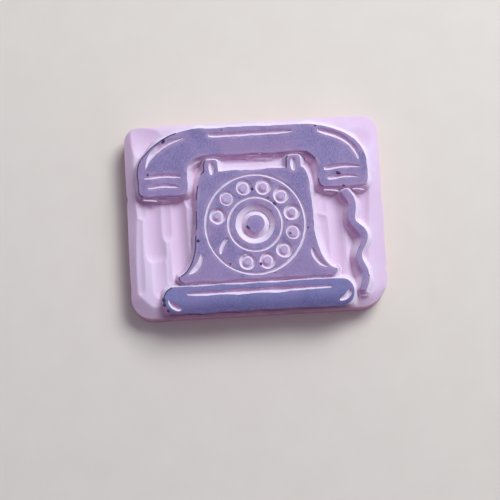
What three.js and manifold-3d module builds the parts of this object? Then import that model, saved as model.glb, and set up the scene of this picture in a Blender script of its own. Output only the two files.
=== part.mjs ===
// A hand-carved stamp: one block of soft carving rubber, cut away round a raised
// desk telephone, and the patches of dried ink that its printing lands carry.
// Millimetres, +Z up. The origin is the middle of the block's flat back, and the
// carved printing face looks up.

import * as THREE from 'three';
import { mergeVertices } from 'three/addons/utils/BufferGeometryUtils.js';
import Module from 'manifold-3d';

// Block
const BLOCK_THICKNESS = 9.5;
const BACK_CORNER_RADIUS = 3.6;
const FRONT_LEFT_RADIUS = 5.2;
const FRONT_RIGHT_RADIUS = 7;
const FRONT_LEAN = 0.9;
const SIDE_MARGIN = 3.5;
const TOP_MARGIN = 1.6;
const BOTTOM_MARGIN = 1.1;

// Carving
const CARVE_DEPTH = 2.6;
const WALL_RUN = 1.1;
const RIM_RUN = 3.2;
const RIM_DROP = 1.7;
const LINE_WIDTH = 0.8;
const LINE_DEPTH = 0.75;
const LAND_GAP = 0.9;
const LINE_INSET = 1.9;
const LINE_BOW = 1.2;
const SCOOP_WIDTH = 3.6;
const SCOOP_DEPTH = 0.45;
const POCKET_SCOOPS = 5;
const CORNER_SCOOPS = 2;
const CORNER_SCOOP_PITCH = 2;

// Dried ink on the lands
const INK_THICKNESS = 0.06;

// Dial, from the hub outwards
const HUB_RADIUS = 2.4;
const MOAT_WIDTH = 2.6;
const MOAT_DEPTH = 1.8;
const MOAT_LEAN = 0.75;
const DIAL_RING_WIDTH = 1.3;
const PLATE_MARGIN = 0.55;
const DOT_RADIUS = 1.1;
const DOT_COUNT = 10;
const DOT_PITCH_DEG = 30;
const DOT_FIRST_DEG = -105;
const STOP_DEG = 212;
const STOP_HOOK_DEG = 7;

// Body and plinth
const DIAL_MARGIN = 0.9;
const WAIST_MARGIN = 1.8;
const FOOT_FLARE = 4.9;
const FOOT_ROUND = 1.5;
const PLINTH_HEIGHT = 6.7;
const PLINTH_OVERHANG = 4;
const PLINTH_ROUND = 3;

// Cradle posts and handset
const POST_HEIGHT = 3.1;
const POST_WIDTH = 3.6;
const POST_ROUND = 0.8;
const CRADLE_GAP = 4.3;
const BAR_HEIGHT = 7;
const CUP_GAP = 1.7;
const CUP_WIDTH = 12.2;
const CUP_DROP = 9.4;
const CUP_ROUND = 1.6;
const COLLAR_DROP = 3.8;

// Cord
const CORD_WIDTH = 1.7;
const CORD_SWING = 1.1;
const CORD_WAVES = 2.5;
const CORD_GAP = 1.1;

// Finishes
const RUBBER_COLOUR = 0xd9c3e4;
const RUBBER_ROUGHNESS = 0.55;
const INK_COLOUR = 0x877fb0;
const INK_ROUGHNESS = 0.6;

// Fineness of the curves
const CURVE_STEPS = 6;
const STROKE_STEPS = 8;
const RING_STEPS = 40;
const DOT_STEPS = 16;
const CORD_STEPS = 40;
const SCOOP_SIDES = 5;

// Cutters reach this far above what they cut, and lands this far into the slab under them.
const LIFT = 0.4;
const EMBED = 0.8;

// Places that follow from the sizes above
const dotLine = DOT_RADIUS + LINE_WIDTH / 2;
const dotReach = DOT_RADIUS + LINE_WIDTH;
const moatOuter = HUB_RADIUS + MOAT_WIDTH;
const innerLine = moatOuter + DIAL_RING_WIDTH + LINE_WIDTH / 2;
const dotCircle = innerLine + LINE_WIDTH / 2 + PLATE_MARGIN + dotReach;
const outerLine = dotCircle + dotReach + PLATE_MARGIN + LINE_WIDTH / 2;
const dialReach = outerLine + LINE_WIDTH / 2;

const waistX = dialReach + WAIST_MARGIN;
const footX = waistX + FOOT_FLARE;
const plinthX = footX + PLINTH_OVERHANG;
const cupInnerX = waistX + CUP_GAP;
const cupOuterX = cupInnerX + CUP_WIDTH;
const postOuterX = cupInnerX - CRADLE_GAP;
const postInnerX = postOuterX - POST_WIDTH;
const postX = (postInnerX + postOuterX) / 2;
const cupX = (cupInnerX + cupOuterX) / 2;

const blockWidth = 2 * Math.max(cupOuterX, plinthX + CORD_GAP + CORD_WIDTH) + 2 * SIDE_MARGIN;
const blockDepth = BOTTOM_MARGIN + PLINTH_HEIGHT + LAND_GAP + 2 * (DIAL_MARGIN + dialReach)
  + POST_HEIGHT + LAND_GAP + BAR_HEIGHT + TOP_MARGIN;
const plinthBottomY = BOTTOM_MARGIN - blockDepth / 2;
const plinthTopY = plinthBottomY + PLINTH_HEIGHT;
const bodyBottomY = plinthTopY + LAND_GAP;
const dialY = bodyBottomY + DIAL_MARGIN + dialReach;
const deckY = dialY + dialReach + DIAL_MARGIN;
const postTopY = deckY + POST_HEIGHT;
const barBottomY = postTopY + LAND_GAP;
const barTopY = barBottomY + BAR_HEIGHT;
const mouthY = barBottomY - CUP_DROP;
const collarY = barBottomY - COLLAR_DROP;

const wasm = await Module();
wasm.setup();

/** A closed solid from a three.js geometry. */
function solid(geometry) {
  const bare = new THREE.BufferGeometry();
  bare.setAttribute('position', geometry.getAttribute('position'));
  bare.setIndex(geometry.index);
  const merged = mergeVertices(bare, 1e-4);
  return new wasm.Manifold(new wasm.Mesh({
    numProp: 3,
    vertProperties: new Float32Array(merged.attributes.position.array),
    triVerts: new Uint32Array(merged.index.array),
  }));
}

/** A named mesh, with a material of its own, from a solid. */
function named(name, body, colour, roughness) {
  const mesh = body.getMesh();
  const geometry = new THREE.BufferGeometry();
  geometry.setAttribute('position', new THREE.BufferAttribute(mesh.vertProperties, 3));
  geometry.setIndex(new THREE.BufferAttribute(mesh.triVerts, 1));
  geometry.computeVertexNormals();
  const made = new THREE.Mesh(geometry, new THREE.MeshStandardMaterial({ color: colour, roughness }));
  made.name = name;
  return made;
}

const less = (body, cutters) => cutters.reduce((left, cutter) => left.subtract(cutter), body);
const joined = (bodies) => bodies.reduce((all, body) => all.add(body));

/** A straight-sided solid of an outline between two heights. */
function prism(shape, bottom, top, curveSegments = CURVE_STEPS) {
  const geometry = new THREE.ExtrudeGeometry(shape, {
    depth: top - bottom, bevelEnabled: false, curveSegments,
  });
  return solid(geometry.translate(0, 0, bottom));
}

/** A printing land: its outline at the printing face, on walls that lean out to the ground. */
function land(shape) {
  const root = RIM_DROP + EMBED;
  const geometry = new THREE.ExtrudeGeometry(shape, {
    depth: root,
    bevelThickness: CARVE_DEPTH,
    bevelSize: WALL_RUN,
    bevelSegments: 1,
    curveSegments: CURVE_STEPS,
  });
  return solid(geometry.translate(0, 0, BLOCK_THICKNESS - CARVE_DEPTH - root));
}

/** The ink on a land, cut by the same lines as the rubber under it. */
function inkOn(shape, cutters, curveSegments = CURVE_STEPS) {
  const film = prism(shape, BLOCK_THICKNESS, BLOCK_THICKNESS + INK_THICKNESS, curveSegments);
  return less(film, cutters);
}

/** A rectangle about a centre, its corners rounded from the lower right one on, anticlockwise. */
function roundedRectangle(centreX, centreY, width, height, radii) {
  const right = centreX + width / 2;
  const left = centreX - width / 2;
  const top = centreY + height / 2;
  const bottom = centreY - height / 2;
  const quarter = Math.PI / 2;
  return new THREE.Shape()
    .absarc(right - radii[0], bottom + radii[0], radii[0], -quarter, 0)
    .absarc(right - radii[1], top - radii[1], radii[1], 0, quarter)
    .absarc(left + radii[2], top - radii[2], radii[2], quarter, 2 * quarter)
    .absarc(left + radii[3], bottom + radii[3], radii[3], 2 * quarter, 3 * quarter);
}

/** A ring or, with no inner radius, a disc about the origin. */
function ring(outer, inner = 0) {
  const shape = new THREE.Shape().absarc(0, 0, outer, 0, 2 * Math.PI);
  if (inner > 0) shape.holes.push(new THREE.Path().absarc(0, 0, inner, 0, 2 * Math.PI, true));
  return shape;
}

/** The whole outline from its right half, which runs up from the middle line to the middle line. */
function mirrored(half) {
  const right = half.getPoints(CURVE_STEPS);
  const left = right.slice(1, -1).reverse().map((p) => new THREE.Vector2(-p.x, p.y));
  return new THREE.Shape([...right, ...left]);
}

/** A closed cutter swept along a flat curve, its section growing from a point and back to one. */
function swept(curve, section) {
  const points = [];
  const faces = [];
  const size = section(0.5).length;
  for (let i = 0; i <= STROKE_STEPS; i += 1) {
    const t = i / STROKE_STEPS;
    const at = curve.getPointAt(t);
    const along = curve.getTangentAt(t);
    const outline = section(t);
    const tip = i === 0 || i === STROKE_STEPS;
    for (const [side, up] of tip ? outline.slice(0, 1) : outline) {
      points.push(at.x - along.y * side, at.y + along.x * side, up);
    }
  }
  const start = (i) => 1 + (i - 1) * size;
  const last = points.length / 3 - 1;
  for (let k = 0; k < size; k += 1) {
    const next = (k + 1) % size;
    faces.push(0, start(1) + next, start(1) + k);
    for (let i = 1; i < STROKE_STEPS - 1; i += 1) {
      const a = start(i);
      const b = start(i + 1);
      faces.push(a + k, a + next, b + next, a + k, b + next, b + k);
    }
    const end = start(STROKE_STEPS - 1);
    faces.push(end + k, end + next, last);
  }
  const geometry = new THREE.BufferGeometry();
  geometry.setAttribute('position', new THREE.Float32BufferAttribute(points, 3));
  geometry.setIndex(faces);
  return solid(geometry);
}

/** How deep a tool is at a place along its stroke, from 0 at both ends to 1. */
const bite = (t) => 1 - Math.abs(2 * t - 1) ** 4;

/** A line cut with a V gouge into the printing face, tapering out at both ends. */
function vLine(curve, width = LINE_WIDTH) {
  const run = width / 2 / LINE_DEPTH;
  return swept(curve, (t) => {
    const reach = (LIFT + LINE_DEPTH) * bite(t);
    const top = BLOCK_THICKNESS + LIFT;
    return [[0, top - reach], [run * reach, top], [-run * reach, top]];
  });
}

/** A stroke of a round gouge in the cleared ground. */
function scoop(curve, width = SCOOP_WIDTH) {
  const ground = BLOCK_THICKNESS - CARVE_DEPTH + LIFT;
  return swept(curve, (t) => {
    const reach = (LIFT + SCOOP_DEPTH) * bite(t);
    const half = (width / 2) * bite(t);
    return Array.from({ length: SCOOP_SIDES + 1 }, (_, i) => {
      const angle = Math.PI * (i / SCOOP_SIDES - 0.5);
      return [half * Math.sin(angle), ground - reach * Math.cos(angle)];
    });
  });
}

/** A cutter turned about the upright axis, from a closed profile of radius and height. */
function turned(profile, steps) {
  const points = [...profile, profile[0]].map(([radius, up]) => new THREE.Vector2(radius, up));
  return solid(new THREE.LatheGeometry(points, steps).rotateX(Math.PI / 2));
}

/** A V line cut round in a full ring. */
function ringLine(radius, steps) {
  const top = BLOCK_THICKNESS + LIFT;
  const half = (LINE_WIDTH / 2) * (LINE_DEPTH + LIFT) / LINE_DEPTH;
  return turned([[radius, BLOCK_THICKNESS - LINE_DEPTH], [radius + half, top], [radius - half, top]], steps);
}

/** The wide hollow between the hub and the ring of the dial. */
function moat() {
  const top = BLOCK_THICKNESS + LIFT;
  const floor = BLOCK_THICKNESS - MOAT_DEPTH;
  const over = MOAT_LEAN * LIFT / MOAT_DEPTH;
  return turned([
    [HUB_RADIUS + MOAT_LEAN, floor], [moatOuter - MOAT_LEAN, floor],
    [moatOuter + over, top], [HUB_RADIUS - over, top],
  ], RING_STEPS);
}

const line = (x1, y1, x2, y2) => new THREE.LineCurve(new THREE.Vector2(x1, y1), new THREE.Vector2(x2, y2));
const bend = (x1, y1, cx, cy, x2, y2) => new THREE.QuadraticBezierCurve(
  new THREE.Vector2(x1, y1), new THREE.Vector2(cx, cy), new THREE.Vector2(x2, y2),
);

// Outlines of the lands
const handset = mirrored(new THREE.Path()
  .moveTo(0, barBottomY)
  .lineTo(postOuterX, barBottomY)
  .absellipse(postOuterX, collarY, CRADLE_GAP, COLLAR_DROP, Math.PI / 2, 0, true)
  .lineTo(cupInnerX, mouthY + CUP_ROUND)
  .quadraticCurveTo(cupInnerX, mouthY, cupInnerX + CUP_ROUND, mouthY)
  .lineTo(cupOuterX - CUP_ROUND, mouthY)
  .quadraticCurveTo(cupOuterX, mouthY, cupOuterX, mouthY + CUP_ROUND)
  .lineTo(cupOuterX, collarY)
  .absellipse(postOuterX, collarY, cupOuterX - postOuterX, barTopY - collarY, 0, Math.PI / 2)
  .lineTo(0, barTopY));

const body = mirrored(new THREE.Path()
  .moveTo(0, bodyBottomY)
  .lineTo(footX - FOOT_ROUND, bodyBottomY)
  .quadraticCurveTo(footX, bodyBottomY, footX, bodyBottomY + FOOT_ROUND)
  .absellipse(footX, dialY, FOOT_FLARE, dialY - bodyBottomY - FOOT_ROUND, -Math.PI / 2, Math.PI, true)
  .absellipse(postOuterX, dialY, waistX - postOuterX, deckY - dialY, 0, Math.PI / 2)
  .lineTo(postOuterX, postTopY - POST_ROUND)
  .quadraticCurveTo(postOuterX, postTopY, postOuterX - POST_ROUND, postTopY)
  .lineTo(postInnerX + POST_ROUND, postTopY)
  .quadraticCurveTo(postInnerX, postTopY, postInnerX, postTopY - POST_ROUND)
  .lineTo(postInnerX, deckY)
  .lineTo(0, deckY));

const plinth = roundedRectangle(
  0, (plinthBottomY + plinthTopY) / 2, 2 * plinthX, PLINTH_HEIGHT, Array(4).fill(PLINTH_ROUND),
);

/** The cord's middle line: a bend from the handset's cup to the plinth that swings as it goes. */
class CordLine extends THREE.Curve {
  constructor() {
    super();
    const x = blockWidth / 2 - SIDE_MARGIN - CORD_SWING - CORD_WIDTH;
    this.course = new THREE.CubicBezierCurve(
      new THREE.Vector2(cupX, mouthY - CORD_GAP),
      new THREE.Vector2(x, mouthY - CUP_DROP),
      new THREE.Vector2(x + CORD_SWING, plinthTopY + PLINTH_HEIGHT),
      new THREE.Vector2(plinthX + CORD_GAP + CORD_WIDTH / 2, (plinthBottomY + plinthTopY) / 2),
    );
  }

  getPoint(t, target = new THREE.Vector2()) {
    const along = this.course.getTangent(t);
    const swing = CORD_SWING * Math.sin(2 * Math.PI * CORD_WAVES * t) * Math.sqrt(Math.sin(Math.PI * t));
    const sideways = new THREE.Vector2(-along.y, along.x).multiplyScalar(swing);
    return target.copy(this.course.getPoint(t)).add(sideways);
  }
}

/** A ribbon of even width along a curve. */
function ribbon(curve, width, steps) {
  const left = [];
  const right = [];
  for (let i = 0; i <= steps; i += 1) {
    const at = curve.getPointAt(i / steps);
    const along = curve.getTangentAt(i / steps);
    const side = new THREE.Vector2(-along.y, along.x).multiplyScalar(width / 2);
    left.push(at.clone().add(side));
    right.push(at.clone().sub(side));
  }
  return new THREE.Shape([...right, ...left.reverse()]);
}

const cord = ribbon(new CordLine(), CORD_WIDTH, CORD_STEPS);

// Lines cut into the lands
const both = (make) => [make(1), make(-1)];
const handsetLines = [
  vLine(line(-postOuterX, barTopY - LINE_INSET, postOuterX, barTopY - LINE_INSET)),
  ...both((s) => vLine(bend(
    s * (postOuterX + 2 * LINE_INSET), barTopY - LINE_INSET,
    s * (cupOuterX - LINE_INSET), barTopY - 2 * LINE_INSET,
    s * (cupOuterX - LINE_INSET), collarY,
  ))),
  ...both((s) => vLine(bend(
    s * (cupInnerX + LINE_INSET / 2), collarY - LINE_BOW,
    s * cupX, collarY,
    s * (cupOuterX - LINE_INSET / 2), collarY - LINE_BOW,
  ))),
  ...both((s) => vLine(bend(
    s * (cupInnerX + LINE_INSET), mouthY + LINE_INSET,
    s * cupX, mouthY + LINE_INSET + LINE_BOW,
    s * (cupOuterX - LINE_INSET), mouthY + LINE_INSET,
  ))),
];
const bodyLines = [
  ...both((s) => vLine(bend(
    s * (footX - LINE_INSET), bodyBottomY + LINE_INSET,
    s * (waistX - LINE_INSET / 2), bodyBottomY + 2 * LINE_INSET,
    s * (waistX - LINE_INSET / 2), dialY - dialReach / 2,
  ))),
  ...both((s) => vLine(line(s * postX, deckY - DIAL_MARGIN, s * postX, postTopY - POST_ROUND))),
];
const plinthLines = [
  vLine(line(
    PLINTH_ROUND - plinthX, plinthTopY - LINE_INSET,
    plinthX - PLINTH_ROUND, plinthTopY - LINE_INSET,
  )),
  ...both((s) => vLine(bend(
    s * (plinthX - LINE_BOW), plinthTopY - LINE_INSET - LINE_WIDTH,
    s * (plinthX - LINE_BOW), plinthBottomY + LINE_INSET,
    s * (plinthX - PLINTH_ROUND - LINE_BOW), plinthBottomY + LINE_BOW,
  ))),
];

// Cuts of the dial, about its own centre
const around = (radius, degrees) => {
  const angle = THREE.MathUtils.degToRad(degrees);
  return [radius * Math.cos(angle), radius * Math.sin(angle)];
};
const stopLine = vLine(bend(
  ...around(innerLine + LINE_WIDTH, STOP_DEG - STOP_HOOK_DEG),
  ...around(dotCircle, STOP_DEG - STOP_HOOK_DEG),
  ...around(outerLine - LINE_WIDTH, STOP_DEG + STOP_HOOK_DEG),
));
const outerCut = ringLine(outerLine, RING_STEPS);
const innerCut = ringLine(innerLine, RING_STEPS);
const moatCut = moat();
const dotCut = ringLine(dotLine, DOT_STEPS);
const dotAt = (i) => around(dotCircle, DOT_FIRST_DEG + i * DOT_PITCH_DEG);
const dots = Array.from({ length: DOT_COUNT }, (_, i) => dotAt(i));
const dotCuts = dots.map(([x, y]) => dotCut.translate([x, y, 0]));
const plateCuts = [outerCut, innerCut, stopLine, ...dotCuts];
const dialCuts = [...plateCuts, moatCut].map((cutter) => cutter.translate([0, dialY, 0]));

// Strokes of the round gouge over the cleared ground
const { lerp } = THREE.MathUtils;
const strokes = (count, make) => Array.from({ length: count }, (_, i) => make(i / (count - 1)));
const edgeX = blockWidth / 2 - RIM_RUN / 2;
const slotY = (deckY + barBottomY) / 2;
const scoops = [
  ...both((s) => strokes(POCKET_SCOOPS, (f) => scoop(bend(
    s * lerp(waistX, edgeX, f), lerp(mouthY, collarY, f),
    s * lerp(waistX, edgeX, f), dialY,
    s * lerp(footX, edgeX, f), lerp(plinthTopY, plinthBottomY, f),
  )))).flat(),
  ...both((s) => strokes(CORNER_SCOOPS, (f) => scoop(bend(
    s * (cupOuterX + CORNER_SCOOP_PITCH * f), collarY,
    s * (cupOuterX + CORNER_SCOOP_PITCH * f), barTopY - LINE_INSET,
    s * (cupX + CORNER_SCOOP_PITCH * f), barTopY,
  )))).flat(),
  scoop(line(-postOuterX, slotY, postOuterX, slotY)),
];

// The rubber block
const corners = [FRONT_RIGHT_RADIUS, BACK_CORNER_RADIUS, BACK_CORNER_RADIUS, FRONT_LEFT_RADIUS];
const groundCorners = corners.map((radius) => Math.max(radius - RIM_RUN, LIFT));
const ground = roundedRectangle(0, 0, blockWidth - 2 * RIM_RUN, blockDepth - 2 * RIM_RUN, groundCorners);
const slab = solid(new THREE.ExtrudeGeometry(ground, {
  depth: BLOCK_THICKNESS - CARVE_DEPTH - RIM_DROP,
  bevelThickness: RIM_DROP,
  bevelSize: RIM_RUN,
  bevelSegments: 1,
  curveSegments: CURVE_STEPS,
}));
const outline = roundedRectangle(0, 0, blockWidth, blockDepth, corners);
const frontSlice = new THREE.Shape()
  .moveTo(-blockDepth / 2, 0)
  .lineTo(-blockDepth / 2 + FRONT_LEAN * (1 + LIFT / BLOCK_THICKNESS), BLOCK_THICKNESS + LIFT)
  .lineTo(-blockDepth / 2 - EMBED, BLOCK_THICKNESS + LIFT)
  .lineTo(-blockDepth / 2 - EMBED, 0);
const leaningCut = solid(new THREE.ExtrudeGeometry(frontSlice, { depth: blockWidth, bevelEnabled: false })
  .rotateY(Math.PI / 2).rotateX(Math.PI / 2).translate(-blockWidth / 2, 0, 0));
const envelope = prism(outline, 0, BLOCK_THICKNESS + LIFT).subtract(leaningCut);
const cleared = less(slab, scoops);
const carved = joined([cleared, ...[handset, body, plinth, cord].map(land)]).intersect(envelope);
const block = less(carved, [...handsetLines, ...bodyLines, ...plinthLines, ...dialCuts]);

// Assembly
const rubber = (name, body) => named(name, body, RUBBER_COLOUR, RUBBER_ROUGHNESS);
const ink = (name, film) => named(name, film, INK_COLOUR, INK_ROUGHNESS);

const dial = new THREE.Group();
dial.name = 'dial';
dial.position.set(0, dialY, 0);
const plate = ring(outerLine, innerLine);
const innerBand = ring(innerLine, HUB_RADIUS + MOAT_WIDTH / 2);
plate.holes.push(...dots.map(([x, y]) => new THREE.Path().absarc(x, y, dotLine, 0, 2 * Math.PI, true)));
dial.add(ink('ink_dial_plate', inkOn(plate, plateCuts, RING_STEPS)));
dial.add(ink('ink_dial_ring', inkOn(innerBand, [innerCut, moatCut], RING_STEPS)));
dial.add(ink('ink_dial_hub', inkOn(ring(HUB_RADIUS + MOAT_WIDTH / 2), [moatCut], RING_STEPS)));
const dotFilm = inkOn(ring(dotLine), [dotCut], DOT_STEPS);
dots.forEach(([x, y], i) => {
  const dot = ink(`ink_dot_${String(i + 1).padStart(2, '0')}`, dotFilm);
  dot.position.set(x, y, 0);
  dial.add(dot);
});

const bodyFilm = prism(body, BLOCK_THICKNESS, BLOCK_THICKNESS + INK_THICKNESS)
  .subtract(prism(ring(outerLine), 0, 2 * BLOCK_THICKNESS, RING_STEPS).translate([0, dialY, 0]));

const stamp = new THREE.Group();
stamp.name = 'hand_stamp';
stamp.add(
  rubber('carved_block', block),
  ink('ink_handset', inkOn(handset, handsetLines)),
  ink('ink_body', less(bodyFilm, [...bodyLines, outerCut.translate([0, dialY, 0])])),
  ink('ink_plinth', inkOn(plinth, plinthLines)),
  ink('ink_cord_line', inkOn(cord, [])),
  dial,
);

export default stamp;
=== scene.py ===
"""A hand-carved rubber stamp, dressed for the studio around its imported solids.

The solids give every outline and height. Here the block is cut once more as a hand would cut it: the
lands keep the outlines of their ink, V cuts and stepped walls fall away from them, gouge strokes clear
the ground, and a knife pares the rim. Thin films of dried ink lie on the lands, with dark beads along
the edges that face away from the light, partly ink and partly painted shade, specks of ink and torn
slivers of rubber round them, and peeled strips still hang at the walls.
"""

import logging
import math
from abc import ABC, abstractmethod
from dataclasses import dataclass, field, replace
from enum import Enum
from typing import Any, ClassVar

import bmesh
import bpy
import numpy as np
from mathutils import Matrix, Vector
from mathutils.geometry import delaunay_2d_cdt
from mathutils.kdtree import KDTree

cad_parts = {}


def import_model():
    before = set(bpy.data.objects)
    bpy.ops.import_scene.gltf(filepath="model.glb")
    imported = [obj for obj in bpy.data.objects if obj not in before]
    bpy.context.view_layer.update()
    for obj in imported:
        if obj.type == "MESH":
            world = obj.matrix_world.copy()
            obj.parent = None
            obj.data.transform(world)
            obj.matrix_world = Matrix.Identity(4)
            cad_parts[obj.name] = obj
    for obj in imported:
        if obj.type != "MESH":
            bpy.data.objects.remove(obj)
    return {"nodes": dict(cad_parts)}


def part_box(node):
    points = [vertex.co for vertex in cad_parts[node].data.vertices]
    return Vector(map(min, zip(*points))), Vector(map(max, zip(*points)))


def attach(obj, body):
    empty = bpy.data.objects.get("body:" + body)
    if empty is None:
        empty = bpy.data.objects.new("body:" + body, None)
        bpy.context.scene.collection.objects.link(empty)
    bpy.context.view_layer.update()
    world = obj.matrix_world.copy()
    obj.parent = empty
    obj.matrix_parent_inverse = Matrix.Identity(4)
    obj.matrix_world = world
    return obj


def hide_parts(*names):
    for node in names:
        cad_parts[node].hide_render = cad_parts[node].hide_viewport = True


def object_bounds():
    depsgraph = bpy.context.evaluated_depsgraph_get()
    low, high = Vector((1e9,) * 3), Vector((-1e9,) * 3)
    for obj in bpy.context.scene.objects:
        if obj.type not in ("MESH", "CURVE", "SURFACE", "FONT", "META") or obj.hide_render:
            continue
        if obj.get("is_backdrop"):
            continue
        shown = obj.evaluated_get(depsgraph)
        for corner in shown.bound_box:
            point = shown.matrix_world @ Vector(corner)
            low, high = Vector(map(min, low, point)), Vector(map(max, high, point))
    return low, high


LOG = logging.getLogger("hand_stamp")
MM = 0.001
BODY = "root"
BLOCK = "carved_block"
HANDSET = "ink_handset"
TELEPHONE = "ink_body"
PLINTH = "ink_plinth"
CORD = "ink_cord_line"
DIAL_HUB = "ink_dial_hub"
DOT_PREFIX = "ink_dot_"
FINE_PREFIXES = (DOT_PREFIX, "ink_dial_")
# Large odd factors, and shifts in bits, that stir the cells of a chance field well apart.
STIR_X, STIR_Y, STIR_SEED, STIR_AGAIN = 374761393, 668265263, 974634777, 1274126177
FIRST_SHIFT, LAST_SHIFT = 13, 16
STIR_MASK = 0xFFFF


class Slot(Enum):
    """Finishes that the record names."""

    RUBBER = "rubber"
    INK = "ink"


class Side(Enum):
    """Sides of the block, each as the direction that it faces."""

    LEFT = (-1, 0)
    RIGHT = (1, 0)
    BACK = (0, 1)
    FRONT = (0, -1)


class Tool(Enum):
    """Tools that cut beside the lands."""

    KNIFE = "knife"
    V_GOUGE = "v_gouge"
    SMALL_V = "small_v"
    VEINER = "veiner"


class Inking(Enum):
    """How much ink a land has kept."""

    HEAVY = "heavy"
    EVEN = "even"
    WORN = "worn"
    RUBBED = "rubbed"


def linear(hex_colour: str) -> tuple[float, float, float, float]:
    """Turns an sRGB hex colour into the linear colour that shaders take.

    Args:
        hex_colour: Six hex digits after a hash.

    Returns:
        Red, green, blue and alpha.
    """
    parts = [int(hex_colour[i:i + 2], 16) / 255 for i in (1, 3, 5)]
    red, green, blue = ((c / 12.92) if c <= 0.04045 else ((c + 0.055) / 1.055) ** 2.4 for c in parts)
    return red, green, blue, 1.0


def add_node(tree: bpy.types.NodeTree, kind: str, inputs: dict[str | int, Any] | None = None,
             **settings: Any) -> bpy.types.Node:
    """Adds a node with its settings and links.

    Args:
        tree: The tree that the node joins.
        kind: Blender's name for the kind of node.
        inputs: For each input, by name or place, a value, the output that feeds it, or the node whose
            first output in use does.
        settings: Values for the node's own options.

    Returns:
        The new node.
    """
    node = tree.nodes.new(kind)
    for name, value in settings.items():
        setattr(node, name, value)
    for key, value in (inputs or {}).items():
        in_use = [socket for socket in node.inputs if socket.enabled and socket.name == key]
        socket = in_use[0] if in_use else node.inputs[key]
        if isinstance(value, bpy.types.Node):
            value = next(output for output in value.outputs if output.enabled)
        if isinstance(value, bpy.types.NodeSocket):
            tree.links.new(value, socket)
        else:
            socket.default_value = value
    return node


def new_material(name: str) -> tuple[bpy.types.Material, bpy.types.NodeTree, bpy.types.NodeSocket]:
    """Starts a material that is built from nodes.

    Args:
        name: The material's name.

    Returns:
        The material, its node tree and the place on the piece, which its patterns read.
    """
    material = bpy.data.materials.new(name)
    material.use_nodes = True
    tree = material.node_tree
    tree.nodes.clear()
    return material, tree, add_node(tree, "ShaderNodeTexCoord").outputs["Object"]


def unevenness(points: np.ndarray, wavelength: float, seed: int) -> np.ndarray:
    """Gives a smooth chance value for each place, the same on every run.

    Args:
        points: Places, one row each with x and y.
        wavelength: Distance over which the value changes.
        seed: Picks one of many such fields.

    Returns:
        A value from -1 to 1 for each place.
    """
    cells = points / wavelength
    base = np.floor(cells).astype(np.int64)
    part = cells - base
    ease = part * part * (3 - 2 * part)

    def corner(dx: int, dy: int) -> np.ndarray:
        """Gives the chance value at one corner of each place's cell.

        Args:
            dx: Steps from the cell's first corner along x.
            dy: Steps from the cell's first corner along y.

        Returns:
            A value from -1 to 1 for each place.
        """
        mixed = (base[:, 0] + dx) * STIR_X + (base[:, 1] + dy) * STIR_Y + seed * STIR_SEED
        mixed = (mixed ^ (mixed >> FIRST_SHIFT)) * STIR_AGAIN
        return ((mixed ^ (mixed >> LAST_SHIFT)) & STIR_MASK) / (STIR_MASK / 2) - 1

    low, high = (corner(0, dy) * (1 - ease[:, 0]) + corner(1, dy) * ease[:, 0] for dy in (0, 1))
    return low * (1 - ease[:, 1]) + high * ease[:, 1]


def placed(name: str, data: bpy.types.ID) -> bpy.types.Object:
    """Puts an object into the scene, at the origin.

    Args:
        name: The object's name.
        data: Its mesh, lamp or camera.

    Returns:
        The linked object.
    """
    thing = bpy.data.objects.new(name, data)
    bpy.context.scene.collection.objects.link(thing)
    return thing


def new_object(name: str, verts: np.ndarray, faces: list[Any], crease: float = 0.0) -> bpy.types.Object:
    """Makes a mesh object at the origin.

    Args:
        name: The piece's name.
        verts: Corners, one row each with x, y and z.
        faces: Corner numbers of each face, counter-clockwise from outside.
        crease: Angle, in radians, past which an edge stays sharp. The faces stay flat where it is zero.

    Returns:
        The linked object.
    """
    mesh = bpy.data.meshes.new(name)
    mesh.from_pydata(verts.tolist(), [], faces)
    mesh.update()
    if crease:
        mesh.shade_smooth()
        mesh.set_sharp_from_angle(angle=crease)
    return placed(name, mesh)


def add_attribute(mesh: bpy.types.Mesh, name: str, values: np.ndarray) -> None:
    """Stores a value or a vector with each corner of a mesh.

    Args:
        mesh: The mesh that takes the values.
        name: The attribute's name, which materials and trees read.
        values: One number or one row of three for each corner.
    """
    kind, key = ("FLOAT", "value") if values.ndim == 1 else ("FLOAT_VECTOR", "vector")
    mesh.attributes.new(name, kind, "POINT").data.foreach_set(key, values.astype(np.float32).ravel())


def lower_of(first: np.ndarray, second: np.ndarray, softness: float) -> np.ndarray:
    """Takes the lower of two heights and rounds the ridge where they meet.

    Args:
        first: One height for each place.
        second: The other height for each place.
        softness: Difference in height within which the two run into each other.

    Returns:
        The lower height, slightly less on the ridges.
    """
    meeting = np.clip(softness - np.abs(first - second), 0, None)
    return np.minimum(first, second) - meeting ** 2 / (4 * softness)


def band(lower: np.ndarray, upper: np.ndarray) -> list[list[int]]:
    """Joins two closed rings of corners with a band of four-sided faces.

    Args:
        lower: Corner numbers of the lower ring, counter-clockwise from above.
        upper: Corner numbers of the upper ring, in step with the lower one.

    Returns:
        The faces, which point outwards.
    """
    return np.column_stack([lower, np.roll(lower, -1), np.roll(upper, -1), upper]).tolist()


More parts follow.
